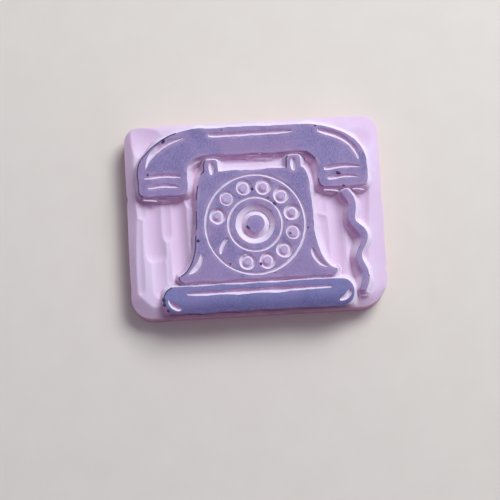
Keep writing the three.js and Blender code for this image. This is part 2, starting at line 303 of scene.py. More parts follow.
@dataclass
class Outline:
    """One closed line round a land, walked with the land on its left.

    The slope is how steeply the cut beside it falls, as depth over width, the patchiness is the share by
    which it changes from place to place, and the drag is the share of painted shade that the cut's walls
    take where they face away from the light.
    """

    points: np.ndarray
    slope: float = 1.0
    patchiness: float = 0.0
    drag: float = 1.0

    def outward(self) -> np.ndarray:
        """Works out the direction away from the land at each point.

        Returns:
            A row of length one for each point.
        """
        ahead = np.roll(self.points, -1, axis=0) - np.roll(self.points, 1, axis=0)
        ahead = ahead / np.linalg.norm(ahead, axis=1, keepdims=True)
        return np.column_stack([ahead[:, 1], -ahead[:, 0]])

    def area(self) -> float:
        """Gives the area inside, negative where the line is walked clockwise."""
        x, y = self.points.T
        return 0.5 * float(np.sum(x * np.roll(y, -1) - np.roll(x, -1) * y))

    def length(self) -> float:
        """Gives the length once round."""
        return float(np.linalg.norm(np.roll(self.points, -1, axis=0) - self.points, axis=1).sum())

    def corners(self, least_turn: float) -> np.ndarray:
        """Finds the sharp corners.

        Args:
            least_turn: Smallest turn, in radians, that counts as a corner.

        Returns:
            The corner points.
        """
        before = self.points - np.roll(self.points, 1, axis=0)
        after = np.roll(self.points, -1, axis=0) - self.points
        turn = np.arctan2(after[:, 1], after[:, 0]) - np.arctan2(before[:, 1], before[:, 0])
        turn = np.abs((turn + math.pi) % math.tau - math.pi)
        return self.points[turn > least_turn]

    def resampled(self, step: float) -> "Outline":
        """Walks the line again in even steps.

        Args:
            step: About how far apart the new points are.

        Returns:
            The line with evenly spaced points.
        """
        least_points = 12
        closed = np.vstack([self.points, self.points[:1]])
        along = np.concatenate([[0.0], np.cumsum(np.linalg.norm(np.diff(closed, axis=0), axis=1))])
        count = max(least_points, round(along[-1] / step))
        marks = np.arange(count) * along[-1] / count
        return replace(self, points=np.column_stack([np.interp(marks, along, closed[:, k]) for k in (0, 1)]))

    def smoothed(self, reach: float) -> np.ndarray:
        """Averages each point with its neighbours along the line.

        Args:
            reach: How far along the line the averaging goes.

        Returns:
            The averaged points.
        """
        waves = np.fft.fftfreq(len(self.points), d=self.length() / len(self.points))
        kept = np.exp(-2 * (math.pi * reach * waves) ** 2)
        return np.fft.ifft(np.fft.fft(self.points, axis=0) * kept[:, None], axis=0).real

    def moved(self, amount: np.ndarray | float) -> "Outline":
        """Moves each point away from the land by an amount."""
        return replace(self, points=self.points + self.outward() * np.reshape(amount, (-1, 1)))


@dataclass(frozen=True)
class Blade:
    """A tool's cut: its wall, how much land it takes, how it drifts and shakes, and how much painted shade
    its walls take where they face away from the light.
    """

    slope: float
    patchiness: float
    kerf: float
    drift: float
    tremor: float
    drag: float


BLADES = {
    Tool.KNIFE: Blade(slope=2.2, patchiness=0.3, kerf=0.0, drift=0.22 * MM, tremor=0.06 * MM, drag=1.0),
    Tool.V_GOUGE: Blade(slope=1.3, patchiness=0.24, kerf=0.18 * MM, drift=0.22 * MM, tremor=0.08 * MM,
                        drag=0.8),
    Tool.SMALL_V: Blade(slope=1.5, patchiness=0.06, kerf=0.07 * MM, drift=0.22 * MM, tremor=0.09 * MM,
                        drag=0.7),
    Tool.VEINER: Blade(slope=1.0, patchiness=0.08, kerf=-0.12 * MM, drift=0.07 * MM, tremor=0.05 * MM,
                       drag=0.55),
}


@dataclass
class CuttingHand:
    """The unsteady hand that follows a drawn outline with a blade."""

    step: float = 0.16 * MM
    corner_turn: float = math.radians(30)
    corner_reach: float = 0.09 * MM
    curve_reach: float = 0.5 * MM
    corner_zone: float = 1.1 * MM
    drift_length: float = 4.6 * MM
    tremor_length: float = 1.3 * MM
    seed: int = 11

    def follow(self, drawn: Outline, tool: Tool) -> Outline:
        """Cuts along a drawn outline: corners stay, facets of arcs go, and the line wavers.

        Args:
            drawn: The outline as drawn.
            tool: The tool that cuts beside it.

        Returns:
            The outline as cut.
        """
        even = drawn.resampled(self.step)
        corners = drawn.corners(self.corner_turn)
        share = np.ones((len(even.points), 1))
        if len(corners):
            gaps = np.linalg.norm(even.points[:, None] - corners[None], axis=2).min(axis=1)
            share = np.clip(gaps / self.corner_zone, 0, 1)[:, None]
        wide = even.smoothed(self.curve_reach)
        tight = even.smoothed(self.corner_reach)
        cut = Outline(wide * share + tight * (1 - share))
        cut = cut.moved((even.area() - cut.area()) / cut.length())
        blade = BLADES[tool]
        waver = blade.drift * unevenness(cut.points, self.drift_length, self.seed)
        waver += blade.tremor * unevenness(cut.points, self.tremor_length, self.seed + 1)
        cut = replace(cut, slope=blade.slope, patchiness=blade.patchiness, drag=blade.drag)
        return cut.moved(waver - blade.kerf)


STEADY_HAND = CuttingHand()
LOOSE_HAND = CuttingHand(corner_reach=0.42 * MM)


def flat_outlines(node: bpy.types.Object) -> list[Outline]:
    """Reads the outlines of a solid's flat underside.

    Args:
        node: The solid, whose own mesh is left alone.

    Returns:
        The outer outline first and then the holes, each with the land on its left.
    """
    merge_distance = 0.001 * MM
    level = 0.999
    shape = bmesh.new()
    shape.from_mesh(node.data)
    bmesh.ops.remove_doubles(shape, verts=shape.verts, dist=merge_distance)
    following = {}
    for face in shape.faces:
        face.tag = face.normal.z < -level
    for face in shape.faces:
        for loop in face.loops:
            if face.tag and not all(other.tag for other in loop.edge.link_faces):
                following[loop.link_loop_next.vert] = loop.vert
    outlines = []
    while following:
        first, corner = following.popitem()
        walk = [first.co.xy]
        while corner is not first:
            walk.append(corner.co.xy)
            corner = following.pop(corner)
        outlines.append(Outline(np.array(walk)))
    shape.free()
    return sorted(outlines, key=Outline.area, reverse=True)


def numbered(outlines: list[Outline]) -> list[np.ndarray]:
    """Numbers the points of several outlines in one run.

    Args:
        outlines: The outlines, in order.

    Returns:
        The point numbers of each outline.
    """
    ends = np.cumsum([len(line.points) for line in outlines])
    return np.split(np.arange(ends[-1]), ends[:-1])


def triangulate(points: np.ndarray,
                rings: list[np.ndarray]) -> tuple[np.ndarray, np.ndarray, np.ndarray, np.ndarray]:
    """Fills outlines with triangles that meet every given point.

    Args:
        points: Places, one row each with x and y.
        rings: Point numbers of each outline.

    Returns:
        The points used, the triangles, how many outlines hold each triangle, and where each given
        point went.
    """
    tolerance = 1e-6
    fill_inside = 1
    faces = []
    for ring in rings:
        turned = Outline(points[ring]).area() < 0
        faces.append((ring[::-1] if turned else ring).tolist())
    # The tool's tolerance suits numbers of about this size.
    places = [Vector(place) for place in points / MM]
    filled = delaunay_2d_cdt(places, [], faces, fill_inside, tolerance, True)
    corners, _, triangles, sources, _, owners = filled
    used = np.array([place[:] for place in corners]) * MM
    held = np.array([len(owner) for owner in owners])
    went = np.zeros(len(points), dtype=int)
    for number, origins in enumerate(sources):
        went[origins] = number
    # The fill also closes small hollows of the outer line, which no outline holds.
    inside = held > 0
    return used, np.array(triangles)[inside], held[inside], went


class EdgeMap:
    """Measures from any place to the nearest edge of a land."""

    def __init__(self, outlines: list[Outline]) -> None:
        """Joins the outlines into one searchable set.

        Args:
            outlines: The edges of all lands.
        """
        self.points = np.vstack([line.points for line in outlines])
        self.outward = np.vstack([line.outward() for line in outlines])
        sizes = [len(line.points) for line in outlines]
        self.slope, self.patchiness, self.drag = (
            np.repeat([getattr(line, trait) for line in outlines], sizes)
            for trait in ("slope", "patchiness", "drag"))
        self.after, self.before = (
            np.concatenate([np.roll(ring, way) for ring in numbered(outlines)]) for way in (-1, 1))
        self.tree = KDTree(len(self.points))
        for number, point in enumerate(self.points):
            self.tree.insert((*point, 0), number)
        self.tree.balance()

    def nearest(self, places: np.ndarray) -> np.ndarray:
        """Gives the number of the edge point nearest to each place."""
        return np.array([self.tree.find((x, y, 0))[1] for x, y in places])

    def beyond(self, places: np.ndarray, near: np.ndarray) -> np.ndarray:
        """Gives how far each place lies beyond its nearest edge point, negative on the land."""
        return np.sum((places - self.points[near]) * self.outward[near], axis=1)

    def distance(self, places: np.ndarray, near: np.ndarray | None = None) -> np.ndarray:
        """Measures how far each place lies from the nearest edge.

        Args:
            places: Places, one row each with x and y.
            near: The nearest edge points, where they are known.

        Returns:
            A distance for each place.
        """
        near = self.nearest(places) if near is None else near
        gaps = []
        for other in (self.before[near], self.after[near]):
            span = self.points[other] - self.points[near]
            reach = np.sum((places - self.points[near]) * span, axis=1) / np.sum(span * span, axis=1)
            foot = self.points[near] + span * np.clip(reach, 0, 1)[:, None]
            gaps.append(np.linalg.norm(places - foot, axis=1))
        return np.minimum(*gaps)


@dataclass(frozen=True)
class Stroke:
    """One push of a U gouge through the rubber."""

    start: tuple[float, float]
    end: tuple[float, float]
    floor: float
    radius: float
    bow: float
    entry: float
    leaving: float

    def cut(self, places: np.ndarray) -> tuple[np.ndarray, np.ndarray, np.ndarray]:
        """Works out how deep this stroke cuts at each place.

        Args:
            places: Places, one row each with x and y.

        Returns:
            The height that is left, the offset across the stroke and the distance along it.
        """
        begin = np.array(self.start)
        chord = np.array(self.end) - begin
        length = float(np.linalg.norm(chord))
        ahead = chord / length
        offset = places - begin
        along = offset @ ahead
        share = np.clip(along / length, 0, 1)
        across = offset @ np.array([-ahead[1], ahead[0]]) - self.bow * 4 * share * (1 - share)
        rise = np.clip(self.entry - along, 0, None) ** 2
        rise = rise + np.clip(along - length + self.leaving, 0, None) ** 2
        return self.floor + (across ** 2 + rise) / (2 * self.radius), across, along


@dataclass(frozen=True)
class Pocket:
    """A pocket that is cleared with gouge strokes side by side, each pushed from its top to its bottom.

    The pitch is the distance from column to column, and pushes is the most strokes that follow each other
    in one column.
    """

    left: float
    right: float
    top: float
    bottom: float
    pitch: float
    pushes: int
    spacing: tuple[float, float] = (0.6, 1.4)
    turn_shares: tuple[float, float] = (0.2, 0.8)
    end_scatter: float = 0.9 * MM
    overlap: float = 2.2 * MM
    sway: float = 1.1 * MM
    depth: float = 2.8 * MM
    scatter: float = 0.3 * MM
    radius: tuple[float, float] = (2.2 * MM, 4.6 * MM)
    bow: float = 0.8 * MM
    entry: tuple[float, float] = (0.8 * MM, 1.6 * MM)
    leaving: tuple[float, float] = (2.0 * MM, 4.5 * MM)

    def strokes(self, chance: np.random.Generator, plane: float) -> list[Stroke]:
        """Lays out the strokes, column by column.

        Args:
            chance: The source of chance values.
            plane: Height of the printing plane.

        Returns:
            The strokes in the order in which they are pushed.
        """
        pushed = []
        column = self.left - self.pitch
        while column < self.right:
            column += self.pitch * chance.uniform(*self.spacing)
            turns = np.sort(chance.uniform(*self.turn_shares, chance.integers(0, self.pushes)))
            marks = self.top + (self.bottom - self.top) * np.concatenate([[0], turns, [1]])
            marks[-1] += chance.uniform(-self.end_scatter, self.end_scatter)
            for upper, lower in zip(marks[:-1], marks[1:]):
                shift = chance.uniform(-self.sway, self.sway, 2)
                pushed.append(Stroke(
                    start=(column + shift[0], upper + self.overlap),
                    end=(column + shift[1], lower),
                    floor=plane - self.depth + chance.normal(0, self.scatter),
                    radius=chance.uniform(*self.radius),
                    bow=chance.uniform(-self.bow, self.bow),
                    entry=chance.uniform(*self.entry),
                    leaving=chance.uniform(*self.leaving)))
        return pushed


@dataclass(frozen=True)
class Fan:
    """Broad gouge strokes that clear a corner, outwards from a hub at angles in degrees."""

    hub: tuple[float, float]
    depth: float
    angles: tuple[float, ...]
    inner: float = 11 * MM
    outer: float = 22 * MM
    sway: float = 0.04
    scatter: float = 0.3 * MM
    radius: tuple[float, float] = (12 * MM, 17 * MM)
    bow: float = 0.3 * MM
    entry: float = 1.2 * MM
    leaving: float = 0.2 * MM

    def strokes(self, chance: np.random.Generator, plane: float) -> list[Stroke]:
        """Lays out the strokes, one at each angle.

        Args:
            chance: The source of chance values.
            plane: Height of the printing plane.

        Returns:
            The strokes in the order in which they are pushed.
        """
        pushed = []
        for angle in np.radians(self.angles):
            angle += chance.uniform(-self.sway, self.sway)
            ahead = np.array([math.cos(angle), math.sin(angle)])
            pushed.append(Stroke(
                start=tuple(np.array(self.hub) + ahead * self.inner),
                end=tuple(np.array(self.hub) + ahead * self.outer),
                floor=plane - self.depth + chance.normal(0, self.scatter),
                radius=chance.uniform(*self.radius),
                bow=chance.uniform(-self.bow, self.bow),
                entry=self.entry,
                leaving=self.leaving))
        return pushed


@dataclass
class CutFace:
    """What the tools leave at a set of places: height and direction of the tool, and the painted shade of the
    walls that face away from the light.
    """

    height: np.ndarray
    grain: np.ndarray
    painted_shade: np.ndarray


@dataclass(frozen=True)
class RimCut:
    """How the knife pares the ground down to one side of the block.

    The drop is how far the rim lies below the ground, and the slope is how the cut rises from there, as
    height over width.
    """

    drop: float
    slope: float


RIM_CUTS = {
    Side.LEFT: RimCut(drop=1.9 * MM, slope=0.8),
    Side.RIGHT: RimCut(drop=0.55 * MM, slope=0.13),
    Side.BACK: RimCut(drop=0.6 * MM, slope=0.3),
    Side.FRONT: RimCut(drop=1.6 * MM, slope=0.6),
}


@dataclass(frozen=True)
class CornerCut:
    """One flat slice off a corner of the block, which faces an angle in degrees.

    The drop is how far its outermost point lies below the printing plane.
    """

    facing: float
    drop: float
    slope: float


CORNER_CUTS = (
    CornerCut(facing=-45, drop=3.5 * MM, slope=0.8),
    CornerCut(facing=-14, drop=3.3 * MM, slope=0.9),
    CornerCut(facing=228, drop=4.2 * MM, slope=0.62),
    CornerCut(facing=42, drop=3.4 * MM, slope=0.2),
)


@dataclass(frozen=True)
class Ledge:
    """A step that one more pass of the knife has left on the walls.

    It comes and goes by chance over its length along the wall, and it is missing below the gate.
    """

    depth: float
    width: float
    gate: float
    length: float


LEDGES = (
    Ledge(depth=0.5 * MM, width=1.7 * MM, gate=-0.1, length=2.9 * MM),
    Ledge(depth=1.25 * MM, width=3.4 * MM, gate=0.0, length=3.8 * MM),
)


@dataclass
class Relief:
    """The carved face: lands at the printing plane, walls and V cuts below them, and gouged ground."""

    lands: list[Outline]
    rim: Outline
    brink: Outline
    plane: float
    wall_patch: float = 3.4 * MM
    foot_softness: float = 0.3 * MM
    ground_depth: float = 2.05 * MM
    ground_unevenness: float = 0.25 * MM
    ground_patch: float = 7 * MM
    rim_slope_scatter: float = 0.22
    rim_slope_patch: float = 11 * MM
    rim_drop_scatter: float = 0.3 * MM
    rim_drop_patch: float = 15.4 * MM
    ridge_softness: float = 0.06 * MM
    facet_softness: float = 0.16 * MM
    # Walls that face this way, away from the light, take a painted shade, which fades out within the reach.
    shade_way: tuple[float, float] = (-0.5, -0.87)
    shade_reach: float = 3.0 * MM
    wall_rows: tuple[float, ...] = (0.1 * MM, 0.24 * MM, 0.42 * MM, 0.66 * MM, 0.95 * MM, 1.25 * MM)
    pitch: float = 0.27 * MM
    jitter: float = 0.2
    cell: float = 0.1 * MM
    seed: int = 23
    strokes: list[Stroke] = field(default_factory=list)

    def __post_init__(self) -> None:
        """Prepares the measuring of land edges and rim."""
        self.edges = EdgeMap(self.lands)
        self.rim_edge = EdgeMap([self.rim])
        self.chance = np.random.default_rng(self.seed)

    def clear(self, areas: tuple[Pocket | Fan, ...]) -> None:
        """Clears pockets and corners with the gouge, one after the other."""
        for area in areas:
            self.strokes.extend(area.strokes(self.chance, self.plane))

    def ground(self, places: np.ndarray) -> tuple[np.ndarray, np.ndarray]:
        """Works out the cleared ground, with the knife's facets along the rim.

        Args:
            places: Places, one row each with x and y.

        Returns:
            The height of the ground and the direction of the tool there, as across and along.
        """
        height = self.plane - self.ground_depth
        height = height + self.ground_unevenness * unevenness(places, self.ground_patch, self.seed)
        grain = np.column_stack([places, np.zeros(len(places))])
        for number, stroke in enumerate(self.strokes):
            floor, across, along = stroke.cut(places)
            deeper = floor < height
            height = lower_of(floor, height, self.ridge_softness)
            grain[deeper] = np.column_stack([across, along, np.full(len(places), number * MM)])[deeper]
        near = self.rim_edge.nearest(places)
        inside = self.rim_edge.distance(places, near)
        facing = self.rim_edge.outward[near]
        shares = {side: np.clip(facing @ np.array(side.value), 0, None) ** 2 for side in Side}
        slope = sum(shares[side] * RIM_CUTS[side].slope for side in Side)
        slope = slope * (1 + self.rim_slope_scatter * unevenness(places, self.rim_slope_patch, self.seed + 1))
        drop = sum(shares[side] * RIM_CUTS[side].drop for side in Side) + self.ground_depth
        drop = drop + self.rim_drop_scatter * unevenness(places, self.rim_drop_patch, self.seed + 2)
        facet = self.plane - drop + slope * inside
        for cut in CORNER_CUTS:
            angle = math.radians(cut.facing)
            way = np.array([math.cos(angle), math.sin(angle)])
            reach = (self.rim.points @ way).max() - places @ way
            facet = lower_of(facet, self.plane - cut.drop + cut.slope * reach, self.facet_softness)
        pared = facet < height
        grain[pared] = np.column_stack([inside, places.sum(axis=1), np.zeros(len(places))])[pared]
        return lower_of(height, facet, self.facet_softness), grain

    def surface(self, places: np.ndarray) -> CutFace:
        """Works out the cut face beside the lands.

        Args:
            places: Places, one row each with x and y.

        Returns:
            What the tools leave there, with the painted shade on the walls that face away from the light.
        """
        near = self.edges.nearest(places)
        gap = self.edges.distance(places, near)
        patchy = 1 + self.edges.patchiness[near] * unevenness(places, self.wall_patch, self.seed + 3)
        slope = self.edges.slope[near] * patchy
        fall = slope * gap
        # The walls at the back of a land were cut in one pass, so they have no ledges.
        front = np.clip(-self.edges.outward[near, 1], 0, 1) * self.edges.patchiness[near]
        for number, ledge in enumerate(LEDGES):
            step = unevenness(self.edges.points[near], ledge.length, self.seed + 4 + number) - ledge.gate
            step = np.clip(step, 0, None) * ledge.width * front
            fall = np.minimum(fall, np.maximum(ledge.depth, fall - slope * step))
        wall = self.plane - fall
        height, grain = self.ground(places)
        steep = wall > height
        grain[steep] = np.column_stack([gap, near * CuttingHand.step, np.zeros(len(places))])[steep]
        # Painted shade: walls that face away from the light take a rosy tone, which fades away from the
        # land's edge, in each tool's share.
        facing = self.edges.outward[near] @ np.array(self.shade_way)
        shade_fading = np.clip(1 - gap / self.shade_reach, 0, 1)
        cut = -lower_of(-height, -wall, self.foot_softness)
        return CutFace(cut, grain, np.clip(facing, 0, 1) * shade_fading * self.edges.drag[near])

    def mesh_points(self) -> np.ndarray:
        """Spreads points over the cut face: along the walls, in the bottom of each V cut and on the ground.

        Returns:
            The points, one row each with x and y.
        """
        true_share = 0.96
        halvings = 7
        narrowest = 0.04 * MM
        row_share = math.sqrt(0.75)
        widest = self.wall_rows[-1]
        # Away from an edge the gap grows evenly, up to the bottom of a V cut, where another edge is nearer.
        root, away = self.edges.points, self.edges.outward
        low, high = np.full(len(root), narrowest), np.full(len(root), widest)
        bounded = self.edges.distance(root + away * high[:, None]) < true_share * high
        for _ in range(halvings):
            middle = (low + high) / 2
            free = self.edges.distance(root + away * middle[:, None]) >= true_share * middle
            low = np.where(free, middle, low)
            high = np.where(free, high, middle)
        spread = [(root + away * low[:, None])[bounded]]
        for offset in self.wall_rows:
            ring = root + away * offset
            spread.append(ring[self.edges.distance(ring) >= true_share * offset])
        box_low, box_high = self.rim.points.min(axis=0), self.rim.points.max(axis=0)
        columns = np.arange(box_low[0], box_high[0], self.pitch)
        rows = np.arange(box_low[1], box_high[1], self.pitch * row_share)
        grid = np.array([(x + (row % 2) * self.pitch / 2, y) for row, y in enumerate(rows) for x in columns])
        grid += self.chance.uniform(-self.jitter, self.jitter, grid.shape) * self.pitch
        near = self.edges.nearest(grid)
        spread.append(grid[(self.edges.beyond(grid, near) > 0) & (self.edges.distance(grid, near) > widest)])
        spread = np.vstack(spread)
        limit = EdgeMap([self.brink])
        spread = spread[limit.beyond(spread, limit.nearest(spread)) < -self.cell]
        _, kept = np.unique(np.round(spread / self.cell).astype(int), axis=0, return_index=True)
        return spread[np.sort(kept)]


@dataclass
class Piece(ABC):
    """A piece of the dressed stamp, with its finish, its slot and the solids that it stands for."""

    finish: bpy.types.Material
    slot: ClassVar[Slot]
    solids: ClassVar[tuple[str, ...]] = ()

    @abstractmethod
    def build(self) -> bpy.types.Object:
        """Makes the piece's mesh object."""

    def make(self) -> None:
        """Builds the piece, dresses it, gives it its place in the frame and logs it."""
        piece = self.build()
        # A piece that has grown from a tree already has its finish.
        if not piece.data.materials:
            piece.data.materials.append(self.finish)
        if self.solids:
            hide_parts(*self.solids)
        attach(piece, BODY)
        LOG.info("%s: %d faces", piece.name, len(piece.data.polygons))


@dataclass(frozen=True)
class Nick:
    """A small dent in the upper edge of the block."""

    place: tuple[float, float]
    depth: float
    width: float


NICKS = (
    Nick(place=(31.8 * MM, -14.6 * MM), depth=0.5 * MM, width=0.6 * MM),
    Nick(place=(31.9 * MM, 3.2 * MM), depth=0.22 * MM, width=1.6 * MM),
    Nick(place=(13.5 * MM, 24.2 * MM), depth=0.25 * MM, width=1.2 * MM),
    Nick(place=(-31.9 * MM, 6.4 * MM), depth=0.35 * MM, width=0.8 * MM),
    Nick(place=(-30.9 * MM, -15.8 * MM), depth=0.3 * MM, width=1.4 * MM),
)


@dataclass
class CarvedBlock(Piece):
    """The block of soft rubber with its carved face, knife-cut sides and flat back."""

    slot = Slot.RUBBER
    solids = (BLOCK,)
    node: bpy.types.Object
    lands: list[Outline]
    lean: float = 0.55 * MM
    rim_inset: float = 0.05 * MM
    side_waver: float = 0.05 * MM
    side_wave: float = 7 * MM
    foot_round: float = 0.22 * MM
    outline_step: float = 0.3 * MM
    corner_reach: float = 0.55 * MM
    side_rows: tuple[float, ...] = (0.05, 0.13, 0.24, 0.38, 0.54, 0.74, 0.9, 1.0)
    # How far the painted shade of the walls runs down the sides, and how that reach varies.
    shade_fall_reach: float = 6.4 * MM
    shade_fall_spread: float = 1.8 * MM
    shade_fall_patch: float = 2.4 * MM
    # Strength of the sides' painted shade at the brink; it grows to full at the foot.
    side_shade_share: float = 0.55
    crease: float = math.radians(34)
    seed: int = 41

    def __post_init__(self) -> None:
        """Reads the block's size and outline."""
        self.low, self.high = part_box(BLOCK)
        drawn = flat_outlines(self.node)[0].resampled(self.outline_step)
        self.foot = Outline(drawn.smoothed(self.corner_reach))
        self.foot = self.foot.moved((drawn.area() - self.foot.area()) / self.foot.length())
        front = np.clip(-self.foot.outward()[:, 1], 0, 1)
        waver = self.side_waver * unevenness(self.foot.points, self.side_wave, self.seed)
        rim = self.foot.moved(-self.lean * front + waver - self.rim_inset)
        dents = np.zeros(len(rim.points))
        for nick in NICKS:
            gaps = np.linalg.norm(rim.points - nick.place, axis=1)
            dents += nick.depth * np.exp(-(gaps / nick.width) ** 2)
        self.brink = rim.moved(-dents)
        self.relief = Relief(self.lands, rim, self.brink, self.high.z)

    def cleared_areas(self) -> tuple[Pocket | Fan, ...]:
        """Lays out the pockets and corners round the figure that the gouge clears.

        Returns:
            The areas, in the order in which they are cleared.
        """
        cups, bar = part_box(HANDSET)
        body_low, body_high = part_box(TELEPHONE)
        plinth_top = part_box(PLINTH)[1].y
        cord_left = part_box(CORD)[0].x
        margin = 2.6 * MM
        left_tuck, right_tuck, cord_tuck = 5 * MM, 4 * MM, 1.5 * MM
        left_run, right_run = 3 * MM, 3.4 * MM
        wide_pitch, narrow_pitch = 3.7 * MM, 2 * MM
        waist_near, waist_far, waist_run = 6 * MM, 8 * MM, 4 * MM
        shoulder = 12 * MM
        hub_y = bar.y - shoulder
        return (
            Pocket(left=self.low.x + margin, right=body_low.x + left_tuck, top=cups.y,
                   bottom=plinth_top - left_run, pitch=wide_pitch, pushes=3),
            Pocket(left=body_high.x - right_tuck, right=cord_left + cord_tuck, top=cups.y,
                   bottom=plinth_top - right_run, pitch=wide_pitch, pushes=2),
            Pocket(left=body_low.x + waist_near, right=body_low.x + waist_far, top=body_high.y,
                   bottom=cups.y - waist_run, pitch=narrow_pitch, pushes=1),
            Pocket(left=body_high.x - waist_far, right=body_high.x - waist_near, top=body_high.y,
                   bottom=cups.y - waist_run, pitch=narrow_pitch, pushes=1),
            Fan((cups.x + shoulder, hub_y), depth=2.8 * MM, angles=(136,)),
            Fan((bar.x - shoulder, hub_y), depth=2.2 * MM, angles=(34, 62)),
        )

    def build(self) -> bpy.types.Object:
        """Carves the face and closes the block with its sides and back.

        Returns:
            The block, with what its finish reads at each corner.
        """
        relief = self.relief
        relief.clear(self.cleared_areas())
        lines = [self.brink, *self.lands]
        rings = numbered(lines)
        places = np.vstack([*(line.points for line in lines), relief.mesh_points()])
        used, triangles, held, went = triangulate(places, rings)
        # Every triangle lies inside the block's own outline, and one more outline holds it on a land.
        on_land = held % 2 == 0
        cut = np.zeros(len(used), dtype=bool)
        cut[triangles[~on_land].ravel()] = True
        face = relief.surface(used)
        face.height = np.where(cut, face.height, relief.plane)
        face.painted_shade = np.where(cut, face.painted_shade, 0)
        brink = went[rings[0]]
        side = self.side_rings(face.height[brink])
        faces = triangles.tolist()
        upper = brink
        for lower in len(used) + np.arange(len(side)).reshape(-1, len(brink)):
            faces.extend(band(lower, upper))
            upper = lower
        faces.append(upper[::-1].tolist())
        top = np.column_stack([used, face.height])
        piece = new_object("block", np.vstack([top, side]), faces, self.crease)
        self.mark(piece.data, face, side, brink)
        return piece

    def side_rings(self, brink_height: np.ndarray) -> np.ndarray:
        """Lays rings of corners down the sides and one more on the back.

        Args:
            brink_height: Height of the upper edge at each of its points.

        Returns:
            The corners, ring by ring, as x, y and z.
        """
        away = self.foot.outward()
        waver = self.side_waver * unevenness(self.foot.points, self.side_wave / 3, self.seed + 1)
        rings = []
        for share in self.side_rows:
            flat = self.brink.points * (1 - share) + self.foot.points * share
            flat = flat + away * (waver * math.sin(math.pi * share))[:, None]
            rings.append(np.column_stack([flat, brink_height * (1 - share) + self.foot_round * share]))
        rings.append(np.column_stack([self.foot.moved(-self.foot_round).points, np.zeros(len(away))]))
        return np.vstack(rings)

    def mark(self, mesh: bpy.types.Mesh, face: CutFace, side: np.ndarray, brink: np.ndarray) -> None:
        """Stores what the finish reads: direction of the tool, painted shade of the walls, depth and painted
        shade of the sides and back.

        Args:
            mesh: The block's mesh.
            face: The carved face.
            side: Corners of the sides and the back, ring by ring.
            brink: Corner numbers of the upper edge.
        """
        count = len(side) // len(brink)
        grain = np.column_stack([side[:, 2], side[:, 0] + side[:, 1], np.ones(len(side))])
        # The painted shade of a wall at the brink runs on down the side, further in some places than in
        # others.
        reach = self.shade_fall_reach + self.shade_fall_spread * unevenness(self.foot.points, self.shade_fall_patch, self.seed + 2)
        fall = np.tile(face.height[brink], count) - side[:, 2]
        shade_down_side = np.tile(face.painted_shade[brink], count) * np.clip(1 - fall / np.tile(reach, count), 0, 1)
        # The sides and the back take a deeper pink as painted shade, part strength at the brink and full at
        # the foot.
        side_shade = self.side_shade_share + (1 - self.side_shade_share) * np.array([*self.side_rows, 1.0])
        add_attribute(mesh, "tool", np.vstack([face.grain, grain]))
        add_attribute(mesh, "painted_shade", np.concatenate([face.painted_shade, shade_down_side]))
        add_attribute(mesh, "depth", self.relief.plane - np.concatenate([face.height, side[:, 2]]))
        add_attribute(mesh, "side_shade", np.concatenate([np.zeros(len(face.height)), np.repeat(side_shade, len(brink))]))


@dataclass
class InkFilm(Piece):
    """The dried ink on one land: a thin closed film, thinner towards its edge."""

    slot = Slot.INK
    node: str
    outlines: list[Outline]
    inset: float = 0.03 * MM
    wear_length: float = 0.7 * MM
    inner_row: float = 0.14 * MM
    least_gap: float = 0.1 * MM
    grid: float = 0.45 * MM
    edge_share: float = 0.35
    swell_reach: float = 0.12 * MM
    crease: float = math.radians(50)
    seed: int = 61

    def __post_init__(self) -> None:
        """Names the solid that the film stands for."""
        self.solids = (self.node,)

    def build(self) -> bpy.types.Object:
        """Spreads the film over its land.

        Returns:
            The film, with the distance from its edge at each corner.
        """
        low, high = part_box(self.node)
        lines = []
        for line in self.outlines:
            worn = self.inset * (1 + unevenness(line.points, self.wear_length, self.seed))
            lines.append(line.moved(-worn))
        edges = EdgeMap(lines)
        rings = numbered(lines)
        columns, rows = (np.arange(low[axis], high[axis], self.grid) for axis in (0, 1))
        inner = np.stack(np.meshgrid(columns, rows), axis=-1).reshape(-1, 2)
        inner = np.vstack([edges.points - edges.outward * self.inner_row, inner])
        near = edges.nearest(inner)
        inner = inner[(edges.beyond(inner, near) < 0) & (edges.distance(inner, near) > self.least_gap)]
        used, triangles, held, went = triangulate(np.vstack([edges.points, inner]), rings)
        triangles = triangles[held % 2 == 1]
        edge = edges.distance(used)
        swell = self.edge_share + (1 - self.edge_share) * (1 - np.exp(-edge / self.swell_reach))
        upper = np.column_stack([used, low.z + (high.z - low.z) * swell])
        lower = np.column_stack([used, np.full(len(used), low.z)])
        faces = triangles.tolist() + (triangles[:, ::-1] + len(used)).tolist()
        for ring in rings:
            faces.extend(band(went[ring] + len(used), went[ring]))
        name = self.node.replace("ink_", "inked_")
        piece = new_object(name, np.vstack([upper, lower]), faces, self.crease)
        add_attribute(piece.data, "edge", np.tile(edge, 2))
        return piece


def grown(name: str, tree: bpy.types.NodeTree, base: bpy.types.Mesh,
          settings: dict[str, Any]) -> bpy.types.Object:
    """Grows a piece from a base mesh with a Geometry Nodes tree and makes it a plain mesh.

    Args:
        name: The piece's name.
        tree: The tree that grows it.
        base: The points or lines that it grows on.
        settings: Values for the tree's named inputs.

    Returns:
        The finished piece.
    """
    seedling = placed(name + "_base", base)
    growth = seedling.modifiers.new("growth", "NODES")
    growth.node_group = tree
    for item in tree.interface.items_tree:
        if item.name in settings:
            growth[item.identifier] = settings[item.name]
    graph = bpy.context.evaluated_depsgraph_get()
    mesh = bpy.data.meshes.new_from_object(seedling.evaluated_get(graph), depsgraph=graph)
    seedling.modifiers.remove(growth)
    bpy.data.objects.remove(seedling)
    mesh.name = name
    return placed(name, mesh)


